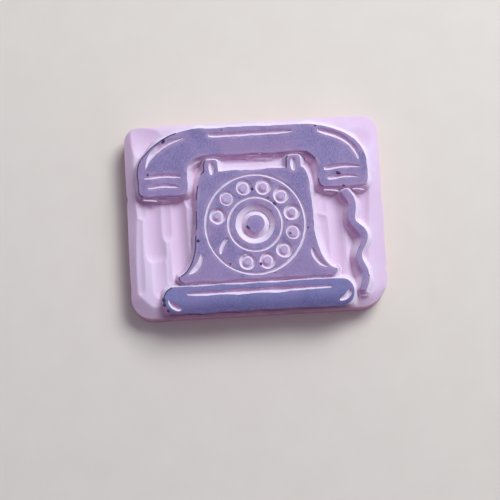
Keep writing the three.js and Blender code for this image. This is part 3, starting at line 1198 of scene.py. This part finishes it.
def new_tree(name: str, values: dict[str, float | int]) -> tuple[bpy.types.NodeTree, bpy.types.Node]:
    """Starts a Geometry Nodes tree with named inputs.

    Args:
        name: The tree's name.
        values: Name and default of each size, and of the seed where the tree has chance values.

    Returns:
        The tree and its input node.
    """
    tree = bpy.data.node_groups.new(name, "GeometryNodeTree")
    for way in ("OUTPUT", "INPUT"):
        tree.interface.new_socket("Geometry", in_out=way, socket_type="NodeSocketGeometry")
    for label, value in values.items():
        kind = "NodeSocketInt" if isinstance(value, int) else "NodeSocketFloat"
        tree.interface.new_socket(label, in_out="INPUT", socket_type=kind).default_value = value
    tree.interface.new_socket("Finish", in_out="INPUT", socket_type="NodeSocketMaterial")
    return tree, add_node(tree, "NodeGroupInput")


def end_tree(tree: bpy.types.NodeTree, start: bpy.types.Node, growth: bpy.types.Node) -> None:
    """Ends a tree in real geometry with its finish.

    Args:
        tree: The tree to end.
        start: Its input node.
        growth: The node that gives what has grown so far.
    """
    real = add_node(tree, "GeometryNodeRealizeInstances", {"Geometry": growth})
    soft = add_node(tree, "GeometryNodeSetShadeSmooth", {"Geometry": real})
    dressed = add_node(tree, "GeometryNodeSetMaterial",
                       {"Geometry": soft, "Material": start.outputs["Finish"]})
    add_node(tree, "NodeGroupOutput", {0: dressed})


@dataclass
class InkAndShadeBeads(Piece):
    """A thin dark bead along the edges that face away from the light, partly dried ink and partly painted
    shade.

    An edge of a bearer carries a bead where it faces far enough to the left and chance is above the gate.
    """

    slot = Slot.INK
    edges: dict[str, list[Outline]]
    plane: float
    bearers: tuple[str, ...] = (HANDSET, PLINTH, TELEPHONE)
    facing: float = -0.3
    gate: float = -0.55
    gate_length: float = 3.2 * MM
    least_points: int = 6
    thickness: float = 0.13 * MM
    sides: int = 6
    taper: float = 0.35
    patch_share: float = 0.45
    patch_length: float = 0.9 * MM
    seed: int = 71

    def base(self) -> bpy.types.Mesh:
        """Collects the stretches of edge that carry a bead.

        Returns:
            A mesh of open lines, with the swell of the bead at each point.
        """
        verts, lines, swell = [], [], []
        for name in self.bearers:
            edge = self.edges[name][0]
            # Beads go on the edges that face away from the light, partly as dried ink and partly as painted
            # shade.
            beaded = edge.outward()[:, 0] < self.facing
            beaded &= unevenness(edge.points, self.gate_length, self.seed) > self.gate
            last = int(np.argmin(beaded))
            run: list[int] = []
            for number in np.roll(np.arange(len(beaded)), -last - 1):
                if beaded[number]:
                    run.append(number)
                    continue
                if len(run) >= self.least_points:
                    start = len(verts)
                    ends = np.sin(np.linspace(0, math.pi, len(run))) ** self.taper
                    patches = unevenness(edge.points[run], self.patch_length, self.seed + 1)
                    verts.extend((x, y, self.plane) for x, y in edge.points[run])
                    swell.extend(ends * (1 + self.patch_share * patches))
                    lines.extend((start + k, start + k + 1) for k in range(len(run) - 1))
                run = []
        mesh = bpy.data.meshes.new("bead_lines")
        mesh.from_pydata(verts, lines, [])
        add_attribute(mesh, "swell", np.array(swell))
        return mesh

    def tree(self) -> bpy.types.NodeTree:
        """Builds the tree that runs a round bead along each line.

        Returns:
            The tree.
        """
        tree, start = new_tree("ink_and_shade_beads", {"Thickness": self.thickness})
        path = add_node(tree, "GeometryNodeMeshToCurve", {"Mesh": start.outputs["Geometry"]})
        swell = add_node(tree, "GeometryNodeInputNamedAttribute", {"Name": "swell"}, data_type="FLOAT")
        sized = add_node(tree, "GeometryNodeSetCurveRadius", {"Curve": path, "Radius": swell})
        ring = add_node(tree, "GeometryNodeCurvePrimitiveCircle",
                        {"Resolution": self.sides, "Radius": start.outputs["Thickness"]})
        bead = add_node(tree, "GeometryNodeCurveToMesh",
                        {"Curve": sized, "Profile Curve": ring, "Fill Caps": True})
        end_tree(tree, start, bead)
        return tree

    def build(self) -> bpy.types.Object:
        """Runs the beads along their edges."""
        sizes = {"Thickness": self.thickness, "Finish": self.finish}
        return grown("ink_and_shade_beads", self.tree(), self.base(), sizes)


@dataclass
class Scatter(Piece):
    """Small bits that lie along the edges of the lands: specks of dried ink or torn slivers of rubber.

    The length is the most that a bit is drawn out along its edge, the reach is how far onto the land it
    lies, and the blots are places that take the largest bits.
    """

    slot: Slot
    name: str
    edges: EdgeMap
    plane: float
    count: int
    least: float
    most: float
    flatness: float
    length: float
    reach: float
    sink: float
    seed: int
    blots: tuple[tuple[float, float], ...] = ()
    smallness: float = 2.2
    tilt: tuple[float, float, float] = (0.2, 0.2, 0.5)

    def base(self) -> bpy.types.Mesh:
        """Picks the places of the bits and their sizes, the largest on the blots.

        Returns:
            A mesh of points, with the span of each bit.
        """
        chance = np.random.default_rng(self.seed)
        picks = chance.choice(len(self.edges.points), self.count, replace=False)
        push = np.abs(chance.normal(0, 1, (self.count, 1))) * self.reach
        size = self.least + (self.most - self.least) * chance.random(self.count) ** self.smallness
        if self.blots:
            picks[:len(self.blots)] = self.edges.nearest(np.array(self.blots))
            push[:len(self.blots)] = 0
            size[:len(self.blots)] = self.most
        flat = self.edges.points[picks] - self.edges.outward[picks] * push
        spots = np.column_stack([flat, np.full(self.count, self.plane - self.sink)])
        mesh = bpy.data.meshes.new(self.name + "_places")
        mesh.from_pydata(spots.tolist(), [], [])
        drawn = chance.uniform(1, self.length, self.count)
        add_attribute(mesh, "span", np.column_stack([size * drawn, size, size * self.flatness]))
        heading = np.arctan2(self.edges.outward[picks, 0], -self.edges.outward[picks, 1])
        add_attribute(mesh, "heading", np.outer(heading, (0, 0, 1)))
        return mesh

    def tree(self) -> bpy.types.NodeTree:
        """Builds the tree that puts a rounded bit on each point, along the edge but a little askew.

        Returns:
            The tree.
        """
        tree, start = new_tree(self.name, {"Swell": 1.0, "Seed": self.seed})
        span, heading = (
            add_node(tree, "GeometryNodeInputNamedAttribute", {"Name": name}, data_type="FLOAT_VECTOR")
            for name in ("span", "heading"))
        tilt = add_node(tree, "FunctionNodeRandomValue",
                        {"Min": [-most for most in self.tilt], "Max": self.tilt,
                         "Seed": start.outputs["Seed"]}, data_type="FLOAT_VECTOR")
        turn = add_node(tree, "ShaderNodeVectorMath", {0: heading, 1: tilt}, operation="ADD")
        bit = add_node(tree, "GeometryNodeMeshIcoSphere",
                       {"Radius": start.outputs["Swell"], "Subdivisions": 2})
        bits = add_node(tree, "GeometryNodeInstanceOnPoints",
                        {"Points": start.outputs["Geometry"], "Instance": bit, "Rotation": turn,
                         "Scale": span})
        end_tree(tree, start, bits)
        return tree

    def build(self) -> bpy.types.Object:
        """Spreads the bits along the edges."""
        return grown(self.name, self.tree(), self.base(), {"Seed": self.seed, "Finish": self.finish})


INK_BLOTS = ((-23.4 * MM, -19.6 * MM), (-23.3 * MM, -20.7 * MM), (-22.6 * MM, -22.3 * MM))


@dataclass(frozen=True)
class Strip:
    """A strip that a blunt blade has peeled off a wall and left hanging by one end."""

    place: tuple[float, float]
    length: float
    width: float
    lift: float


STRIPS = (
    Strip(place=(17.6 * MM, 6.4 * MM), length=3.6 * MM, width=0.9 * MM, lift=0.6 * MM),
    Strip(place=(24.6 * MM, 6.4 * MM), length=2.6 * MM, width=0.7 * MM, lift=0.7 * MM),
    Strip(place=(-27.2 * MM, 6.4 * MM), length=3.2 * MM, width=0.8 * MM, lift=0.5 * MM),
    Strip(place=(18.6 * MM, -15.3 * MM), length=2.4 * MM, width=0.45 * MM, lift=0.35 * MM),
)


@dataclass
class PeeledStrips(Piece):
    """Thin strips of rubber that stand off the walls of the lands."""

    slot = Slot.RUBBER
    edges: EdgeMap
    plane: float
    root_gap: float = 0.45 * MM
    root_depth: float = 1.35 * MM
    lean: float = 0.6
    thickness: float = 0.24 * MM
    tip_share: float = 0.35

    def corners(self, strip: Strip) -> np.ndarray:
        """Peels one strip along its wall.

        Args:
            strip: The strip.

        Returns:
            Its four long edges, each as a row of corners with x, y and z.
        """
        stations = [int(self.edges.nearest(np.array([strip.place]))[0])]
        while len(stations) * CuttingHand.step < strip.length:
            stations.append(self.edges.after[stations[-1]])
        along = np.linspace(0, 1, len(stations))
        slimmer = 1 - along * (1 - self.tip_share)
        away = self.edges.outward[stations]
        foot = self.edges.points[stations] + away * (self.root_gap + strip.lift * along ** 2)[:, None]
        low = self.plane - self.root_depth + strip.lift * along ** 1.5
        tall = strip.width * np.sqrt(slimmer)
        thick = away * (self.thickness * slimmer)[:, None]
        crest = foot + away * (self.lean * tall)[:, None]
        rows = ((foot - thick, low), (foot, low), (crest, low + tall), (crest - thick, low + tall))
        return np.stack([np.column_stack(row) for row in rows])

    def build(self) -> bpy.types.Object:
        """Peels all strips and closes each with faces.

        Returns:
            The strips as one piece.
        """
        verts, faces = [], []
        for strip in STRIPS:
            rows = self.corners(strip)
            start = sum(len(part) for part in verts)
            numbers = start + np.arange(rows.shape[0] * rows.shape[1]).reshape(rows.shape[:2])
            verts.append(rows.reshape(-1, 3))
            for here, beside in zip(numbers, np.roll(numbers, -1, axis=0)):
                faces.extend(np.column_stack([here[:-1], here[1:], beside[1:], beside[:-1]]).tolist())
            faces.extend([numbers[::-1, 0].tolist(), numbers[:, -1].tolist()])
        piece = new_object("peeled_strips", np.vstack(verts), faces)
        shape = bmesh.new()
        shape.from_mesh(piece.data)
        bmesh.ops.recalc_face_normals(shape, faces=shape.faces)
        shape.to_mesh(piece.data)
        shape.free()
        return piece


@dataclass(frozen=True)
class CarvingRubber:
    """Soft carving rubber, calendered as a sheet and cut with sharp tools.

    It is matt and slightly translucent: thin edges and the bottoms of cuts glow a warmer pink, partly through
    the translucency and partly as painted shade, and each tool leaves fine drag lines along its path. Painted
    shade also makes the walls that face away from the light rosy and the sides and back a deeper pink, and a
    painted shadow darkens the front edge below the plinth.
    """

    pale: str = "#EFE4EB"
    # Painted shade of the hollows, and the cloudy tone at random.
    deep: str = "#E8D0DE"
    # Painted shade of the sides and back.
    side: str = "#C78FAC"
    # Painted shade of the walls that face away from the light.
    painted_shade: str = "#C184B5"
    shade_share: float = 0.8
    shade_full: float = 0.8
    shade_patch_low: float = 0.75
    shade_patch_grain: tuple[float, float] = (0.3, 0.7)
    # Painted shadow on the front edge below the plinth.
    front_shadow: str = "#5E3A58"
    front_shadow_from: float = -22.4 * MM
    front_shadow_to: float = -23.6 * MM
    deep_from: float = 0.9 * MM
    deep_to: float = 3.1 * MM
    roughness: float = 0.52
    roughness_spread: float = 0.08
    refraction: float = 1.46
    gloss: float = 0.22
    scatter: float = 0.45
    scatter_depth: float = 0.9 * MM
    scatter_reach: tuple[float, float, float] = (1.0, 0.45, 0.6)
    drag_width: float = 0.3 * MM
    drag_length: float = 7 * MM
    drag_depth: float = 0.018 * MM
    grain: float = 0.35 * MM
    grain_depth: float = 0.008 * MM
    cloud: float = 6 * MM
    cloud_share: float = 0.6

    def material(self) -> bpy.types.Material:
        """Builds the rubber from nodes.

        Returns:
            The material.
        """
        material, tree, place = new_material("carving_rubber")
        tool, painted_shade, depth, side_shade = (
            add_node(tree, "ShaderNodeAttribute", attribute_name=name).outputs[kind]
            for name, kind in (("tool", "Vector"), ("painted_shade", "Fac"), ("depth", "Fac"), ("side_shade", "Fac")))
        stretch = (1 / self.drag_width, 1 / self.drag_length, 1 / MM)
        path = add_node(tree, "ShaderNodeMapping", {"Vector": tool, "Scale": stretch})
        drag = add_node(tree, "ShaderNodeTexNoise",
                        {"Vector": path, "Scale": 1.0, "Detail": 2.0, "Roughness": 0.6})
        # Real grain is finer than a pixel, so it is drawn a few times coarser to show.
        grain, cloud = (
            add_node(tree, "ShaderNodeTexNoise", {"Vector": place, "Scale": 1 / size, "Detail": detail})
            for size, detail in ((self.grain, 3.0), (self.cloud, 2.0)))
        cloudy = add_node(tree, "ShaderNodeMath", {0: cloud, 1: self.cloud_share, 2: -self.cloud_share / 2},
                          operation="MULTIPLY_ADD", use_clamp=True)
        # The painted shade of the walls comes and goes with the grain.
        worn = add_node(tree, "ShaderNodeMapRange",
                        {"Value": grain, "From Min": self.shade_patch_grain[0], "From Max": self.shade_patch_grain[1],
                         "To Min": self.shade_patch_low})
        patchy = add_node(tree, "ShaderNodeMath", {0: painted_shade, 1: worn}, operation="MULTIPLY")
        along = add_node(tree, "ShaderNodeSeparateXYZ", {0: place}).outputs["Y"]
        # Painted shade: the hollows by depth, the walls that face away from the light by their share, and the
        # front edge below the plinth by y.
        hollow_shade, spread, front = (
            add_node(tree, "ShaderNodeMapRange",
                     {"Value": value, "From Min": start, "From Max": end, "To Max": most},
                     interpolation_type="SMOOTHSTEP")
            for value, start, end, most in ((depth, self.deep_from, self.deep_to, 1.0),
                                            (patchy, 0.0, self.shade_full, self.shade_share),
                                            (along, self.front_shadow_from, self.front_shadow_to, 1.0)))
        # The deeper tone is painted shade in the hollows, with a cloudy tone at random over it.
        tone = add_node(tree, "ShaderNodeMath", {0: hollow_shade, 1: cloudy}, operation="ADD", use_clamp=True)
        # Painted shadow on the front edge, where the painted shade of the walls reaches it.
        front_shadow_cover = add_node(tree, "ShaderNodeMath", {0: front, 1: painted_shade}, operation="MULTIPLY")
        # Over the pale rubber: the painted shade of the hollows with the cloud, the painted shade of the
        # sides and back, the painted shade of the walls and the painted shadow at the front.
        colour = linear(self.pale)
        for cover, tint in ((tone, self.deep), (side_shade, self.side), (spread, self.painted_shade), (front_shadow_cover, self.front_shadow)):
            colour = add_node(tree, "ShaderNodeMix", {"Factor": cover, "A": colour, "B": linear(tint)},
                              data_type="RGBA")
        lines = add_node(tree, "ShaderNodeBump",
                         {"Height": drag, "Distance": self.drag_depth, "Strength": 1.0})
        fine = add_node(tree, "ShaderNodeBump",
                        {"Height": grain, "Distance": self.grain_depth, "Strength": 1.0, "Normal": lines})
        rough = add_node(tree, "ShaderNodeMapRange",
                         {"Value": grain, "To Min": self.roughness - self.roughness_spread,
                          "To Max": self.roughness + self.roughness_spread})
        shader = add_node(tree, "ShaderNodeBsdfPrincipled",
                          {"Base Color": colour, "Roughness": rough, "IOR": self.refraction,
                           "Specular IOR Level": self.gloss, "Subsurface Weight": self.scatter,
                           "Subsurface Scale": self.scatter_depth, "Subsurface Radius": self.scatter_reach,
                           "Normal": fine}, subsurface_method="RANDOM_WALK")
        add_node(tree, "ShaderNodeOutputMaterial", {"Surface": shader})
        return material


@dataclass(frozen=True)
class DriedInk:
    """Pigment ink that has dried on rubber after many prints.

    It is dull and thin. The pad leaves it mottled, a fine grain of rubber shows through, and it gathers
    darker along the edges.
    """

    inking: Inking
    dark: str
    pale: str
    blush: str
    bare: str = "#C0A3BD"
    # The ink turns darker towards the front edge of its land, over this range and up to this share.
    front_dark: str = "#433E69"
    front_dark_share: float = 0.0
    front_dark_from: float = -19.0 * MM
    front_dark_to: float = -23.4 * MM
    tone_range: tuple[float, float] = (0.3, 0.7)
    blush_share: float = 0.85
    blush_range: tuple[float, float] = (0.42, 0.68)
    blush_patch: float = 10.5 * MM
    streak_width: float = 0.28 * MM
    streak_length: float = 0.8 * MM
    streak_share: float = 0.8
    show_through: float = 0.42
    show_range: tuple[float, float] = (0.45, 0.75)
    rubbed: float = 0.62
    rubbed_reach: float = 1.2 * MM
    rubbed_patch: float = 2.4 * MM
    rubbed_range: tuple[float, float] = (0.34, 0.66)
    roughness: float = 0.62
    roughness_spread: float = 0.1
    refraction: float = 1.48
    gloss: float = 0.35
    mottle: float = 7 * MM
    grain: float = 0.4 * MM
    grain_depth: float = 0.012 * MM
    gather: float = 0.3 * MM
    gather_share: float = 0.3

    def material(self) -> bpy.types.Material:
        """Builds the ink from nodes.

        Returns:
            The material.
        """
        material, tree, place = new_material(f"dried_ink_{self.inking.value}")
        edge = add_node(tree, "ShaderNodeAttribute", attribute_name="edge").outputs["Fac"]
        along = add_node(tree, "ShaderNodeSeparateXYZ", {0: place}).outputs["Y"]
        # The rubber's grain is drawn a few times coarser than it is, so that it shows.
        mottle, grain, warm, patch = (
            add_node(tree, "ShaderNodeTexNoise",
                     {"Vector": place, "Scale": 1 / size, "Detail": detail, "Roughness": roughness})
            for size, detail, roughness in ((self.mottle, 4.0, 0.6), (self.grain, 3.0, 0.7),
                                            (self.blush_patch, 3.0, 0.5), (self.rubbed_patch, 2.0, 0.5)))
        stretch = (1 / self.streak_width, 1 / self.streak_length, 1 / self.streak_length)
        streak_place = add_node(tree, "ShaderNodeMapping", {"Vector": place, "Scale": stretch})
        streak = add_node(tree, "ShaderNodeTexNoise", {"Vector": streak_place, "Scale": 1.0, "Detail": 2.0})
        pull = add_node(tree, "ShaderNodeMath", {0: streak, 1: self.streak_share, 2: -self.streak_share / 2},
                        operation="MULTIPLY_ADD")
        stripy = add_node(tree, "ShaderNodeMath", {0: mottle, 1: pull}, operation="ADD")
        soft, even = "SMOOTHSTEP", "LINEAR"
        tone, warmth, front_darkening, thin, near_edge, patchy, gather, rough = (
            add_node(tree, "ShaderNodeMapRange",
                     {"Value": value, "From Min": start, "From Max": end, "To Min": low, "To Max": high},
                     interpolation_type=course)
            for course, value, (start, end), (low, high) in (
                (even, stripy, self.tone_range, (0.0, 1.0)),
                (soft, warm, self.blush_range, (0.0, self.blush_share)),
                (soft, along, (self.front_dark_from, self.front_dark_to), (0.0, self.front_dark_share)),
                (even, grain, self.show_range, (0.0, self.show_through)),
                (soft, edge, (0.0, self.rubbed_reach), (self.rubbed, 0.0)),
                (even, patch, self.rubbed_range, (0.0, 1.0)),
                (soft, edge, (0.0, self.gather), (self.gather_share, 0.0)),
                (even, mottle, (0.0, 1.0),
                 (self.roughness - self.roughness_spread, self.roughness + self.roughness_spread))))
        rub = add_node(tree, "ShaderNodeMath", {0: near_edge, 1: patchy}, operation="MULTIPLY")
        colour = linear(self.dark)
        # Over the dark ink: paler mottle, blush, darker towards the front edge, rubber through thin ink,
        # rubbed edges and the darker edge.
        for cover, tint in ((tone, self.pale), (warmth, self.blush), (front_darkening, self.front_dark), (thin, self.bare),
                            (rub, self.bare), (gather, self.dark)):
            colour = add_node(tree, "ShaderNodeMix", {"Factor": cover, "A": colour, "B": linear(tint)},
                              data_type="RGBA")
        bump = add_node(tree, "ShaderNodeBump",
                        {"Height": grain, "Distance": self.grain_depth, "Strength": 1.0})
        shader = add_node(tree, "ShaderNodeBsdfPrincipled",
                          {"Base Color": colour, "Roughness": rough, "IOR": self.refraction,
                           "Specular IOR Level": self.gloss, "Normal": bump})
        add_node(tree, "ShaderNodeOutputMaterial", {"Surface": shader})
        return material


INKS = (
    DriedInk(Inking.HEAVY, dark="#6D6F98", pale="#8585AD", blush="#8780A9", front_dark_share=0.8,
             show_through=0.18, rubbed=0.12),
    DriedInk(Inking.EVEN, dark="#767096", pale="#988DB0", blush="#9C86A8"),
    DriedInk(Inking.WORN, dark="#8E80A8", pale="#A89ABE", blush="#AC98BC", show_through=0.5),
    DriedInk(Inking.RUBBED, dark="#B6A5C4", pale="#D5C6DE", blush="#D0B9D2", show_through=0.5),
)
INKING_OF_LANDS = {PLINTH: Inking.HEAVY, DIAL_HUB: Inking.WORN}


@dataclass(frozen=True)
class InkCrust:
    """Thick dried ink: almost black with a dull shine, crazed on top."""

    body: str = "#221A3B"
    crest: str = "#3D325C"
    roughness: float = 0.4
    refraction: float = 1.5
    craze: float = 0.18 * MM
    craze_depth: float = 0.02 * MM

    def material(self) -> bpy.types.Material:
        """Builds the crust from nodes.

        Returns:
            The material.
        """
        material, tree, place = new_material("ink_crust")
        craze = add_node(tree, "ShaderNodeTexNoise",
                         {"Vector": place, "Scale": 1 / self.craze, "Detail": 3.0})
        colour = add_node(tree, "ShaderNodeMix",
                          {"Factor": craze, "A": linear(self.body), "B": linear(self.crest)},
                          data_type="RGBA")
        bump = add_node(tree, "ShaderNodeBump",
                        {"Height": craze, "Distance": self.craze_depth, "Strength": 1.0})
        shader = add_node(tree, "ShaderNodeBsdfPrincipled",
                          {"Base Color": colour, "Roughness": self.roughness, "IOR": self.refraction,
                           "Normal": bump})
        add_node(tree, "ShaderNodeOutputMaterial", {"Surface": shader})
        return material


@dataclass(frozen=True)
class StudioFloor:
    """Pale paper sheet: matt, with a faint fibre."""

    light: str = "#EFEBD2"
    shade: str = "#E9E4CB"
    fibre: float = 9 * MM
    roughness: float = 0.85
    gloss: float = 0.2

    def material(self) -> bpy.types.Material:
        """Builds the paper from nodes.

        Returns:
            The material.
        """
        material, tree, place = new_material("paper_sheet")
        fibre = add_node(tree, "ShaderNodeTexNoise",
                         {"Vector": place, "Scale": 1 / self.fibre, "Detail": 4.0})
        colour = add_node(tree, "ShaderNodeMix",
                          {"Factor": fibre, "A": linear(self.light), "B": linear(self.shade)},
                          data_type="RGBA")
        shader = add_node(tree, "ShaderNodeBsdfPrincipled",
                          {"Base Color": colour, "Roughness": self.roughness,
                           "Specular IOR Level": self.gloss})
        add_node(tree, "ShaderNodeOutputMaterial", {"Surface": shader})
        return material


@dataclass(frozen=True)
class Lamp:
    """A soft square lamp that points at the stamp, with its power in watts."""

    name: str
    tint: str
    place: tuple[float, float, float]
    size: float
    power: float

    def hang(self) -> None:
        """Hangs the lamp in its place."""
        lamp = bpy.data.lights.new(self.name, "AREA")
        lamp.size = self.size
        lamp.energy = self.power
        lamp.color = linear(self.tint)[:3]
        holder = placed(self.name, lamp)
        holder.location = self.place
        holder.rotation_euler = (-Vector(self.place)).to_track_quat("-Z", "Y").to_euler()


LAMPS = (
    Lamp("key", tint="#EAECFF", place=(0.34, 0.42, 0.56), size=0.4, power=6.2),
    Lamp("fill", tint="#E2D8FF", place=(-0.45, -0.3, 0.6), size=0.7, power=0.3),
)


@dataclass(frozen=True)
class Studio:
    """Floor, light and the camera above the stamp."""

    floor_size: float = 1.6
    window_tint: str = "#DADFFF"
    room_tint: str = "#D8A6EC"
    window_way: tuple[float, float, float] = (0.6, 0.8, 0.0)
    tint_range: tuple[float, float] = (-0.75, -0.05)
    sky_front: float = 0.17
    sky_back: float = 0.46
    backdrop_strength: float = 0.9
    image_px: int = 500
    block_centre_px: tuple[float, float] = (255, 216)
    block_width_px: float = 258.4
    elevation: float = math.radians(84)
    roll: float = math.radians(3.3)
    distance: float = 0.30
    sensor: float = 36.0
    nearest: float = 0.01

    def lay_floor(self) -> None:
        """Lays the pale floor under the stamp."""
        half = self.floor_size / 2
        corners = np.array([(-half, -half, 0), (half, -half, 0), (half, half, 0), (-half, half, 0)])
        floor = new_object("floor", corners, [[0, 1, 2, 3]])
        floor.data.materials.append(StudioFloor().material())
        floor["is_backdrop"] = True

    def light(self) -> None:
        """Hangs the lamps and sets the soft light from all round, brighter from the window's side."""
        for lamp in LAMPS:
            lamp.hang()
        world = bpy.data.worlds.new("studio")
        world.use_nodes = True
        tree = world.node_tree
        tree.nodes.clear()
        path = add_node(tree, "ShaderNodeLightPath")
        seen = path.outputs["Is Camera Ray"]
        for ray in ("Is Glossy Ray", "Is Transmission Ray"):
            seen = add_node(tree, "ShaderNodeMath", {0: seen, 1: path.outputs[ray]}, operation="MAXIMUM")
        way = add_node(tree, "ShaderNodeTexCoord").outputs["Generated"]
        facing = add_node(tree, "ShaderNodeVectorMath", {0: way, 1: self.window_way}, operation="DOT_PRODUCT")
        tint = add_node(tree, "ShaderNodeMapRange",
                        {"Value": facing, "From Min": self.tint_range[0], "From Max": self.tint_range[1]})
        colour = add_node(tree, "ShaderNodeMix",
                          {"Factor": tint, "A": linear(self.room_tint), "B": linear(self.window_tint)},
                          data_type="RGBA")
        glow = add_node(tree, "ShaderNodeMapRange",
                        {"Value": facing, "From Min": -1.0, "To Min": self.sky_front,
                         "To Max": self.sky_back})
        strength = add_node(tree, "ShaderNodeMapRange",
                            {"Value": seen, "To Min": glow, "To Max": self.backdrop_strength})
        sky = add_node(tree, "ShaderNodeBackground", {"Color": colour, "Strength": strength})
        add_node(tree, "ShaderNodeOutputWorld", {"Surface": sky})
        bpy.context.scene.world = world

    def aim_camera(self, low: Vector, high: Vector) -> None:
        """Places the camera almost straight above the stamp, turned as the photograph is.

        Args:
            low: Lowest corner of the block.
            high: Highest corner of the block.
        """
        pixel = (high.x - low.x) / self.block_width_px
        centre = Vector(((low.x + high.x) / 2, (low.y + high.y) / 2, high.z))
        back = Vector((0, -math.cos(self.elevation), math.sin(self.elevation)))
        level = Vector((1, 0, 0))
        upright = back.cross(level)
        right = level * math.cos(self.roll) - upright * math.sin(self.roll)
        up = upright * math.cos(self.roll) + level * math.sin(self.roll)
        middle = self.image_px / 2
        shift = (self.block_centre_px[0] - middle, middle - self.block_centre_px[1])
        aim = centre - (right * shift[0] + up * shift[1]) * pixel
        lens = bpy.data.cameras.new("camera")
        lens.sensor_width = self.sensor
        lens.lens = self.sensor * self.distance / (self.image_px * pixel)
        lens.clip_start = self.nearest
        camera = placed("camera", lens)
        turn = Matrix((right, up, back)).transposed().to_4x4()
        camera.matrix_world = Matrix.Translation(aim + back * self.distance) @ turn
        bpy.context.scene.camera = camera

    def set_up(self, low: Vector, high: Vector) -> None:
        """Sets up floor, light and camera.

        Args:
            low: Lowest corner of the block.
            high: Highest corner of the block.
        """
        self.lay_floor()
        self.light()
        self.aim_camera(low, high)
        bpy.context.scene.view_settings.view_transform = "Standard"


def tool_for(node: str, outline: Outline, dial: np.ndarray) -> Tool:
    """Tells which tool cuts beside an outline.

    Args:
        node: The land's name.
        outline: One of its outlines.
        dial: The middle of the dial.

    Returns:
        A veiner for the wide rings of the dial, a small V gouge for the rest of the dial, a larger one for
        the lines inside the figure, and a knife round it.
    """
    least_ring = 4 * MM
    off_centre = 0.5 * MM
    apart = np.linalg.norm(outline.points - dial, axis=1)
    if np.ptp(apart) < off_centre and apart.min() > least_ring:
        return Tool.VEINER
    if node.startswith(FINE_PREFIXES):
        return Tool.SMALL_V
    return Tool.V_GOUGE if outline.area() < 0 else Tool.KNIFE


def inking_of(node: str) -> Inking:
    """Tells how much ink a land has kept."""
    return Inking.RUBBED if node.startswith(DOT_PREFIX) else INKING_OF_LANDS.get(node, Inking.EVEN)


def main() -> None:
    """Builds the stamp piece by piece and sets up the studio."""
    logging.basicConfig(level=logging.INFO, format="%(name)s: %(message)s")
    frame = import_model()
    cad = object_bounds()
    dial = sum(np.array(corner.xy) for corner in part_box(DIAL_HUB)) / 2
    lands = {}
    for name, node in sorted(frame["nodes"].items()):
        if name != BLOCK:
            hand = LOOSE_HAND if name == CORD else STEADY_HAND
            lands[name] = [hand.follow(line, tool_for(name, line, dial)) for line in flat_outlines(node)]
    rubber = CarvingRubber().material()
    inks = {ink.inking: ink.material() for ink in INKS}
    crust = InkCrust().material()
    block = CarvedBlock(rubber, frame["nodes"][BLOCK], [line for lines in lands.values() for line in lines])
    edges = block.relief.edges
    ink_top, rubber_top = cad[1].z, block.high.z
    pieces = [
        block,
        *(InkFilm(inks[inking_of(name)], name, outlines) for name, outlines in lands.items()),
        InkAndShadeBeads(crust, lands, ink_top),
        Scatter(crust, Slot.INK, "ink_specks", edges, ink_top, count=34, least=0.1 * MM, most=0.42 * MM,
                flatness=0.4, length=1.8, reach=0.5 * MM, sink=0.0, seed=83, blots=INK_BLOTS),
        Scatter(rubber, Slot.RUBBER, "torn_slivers", edges, rubber_top, count=14, least=0.06 * MM,
                most=0.2 * MM, flatness=0.6, length=5.0, reach=-0.12 * MM, sink=0.22 * MM, seed=97),
        PeeledStrips(rubber, edges, rubber_top),
    ]
    for piece in pieces:
        piece.make()
    Studio().set_up(block.low, block.high)


if __name__ == "__main__":
    main()
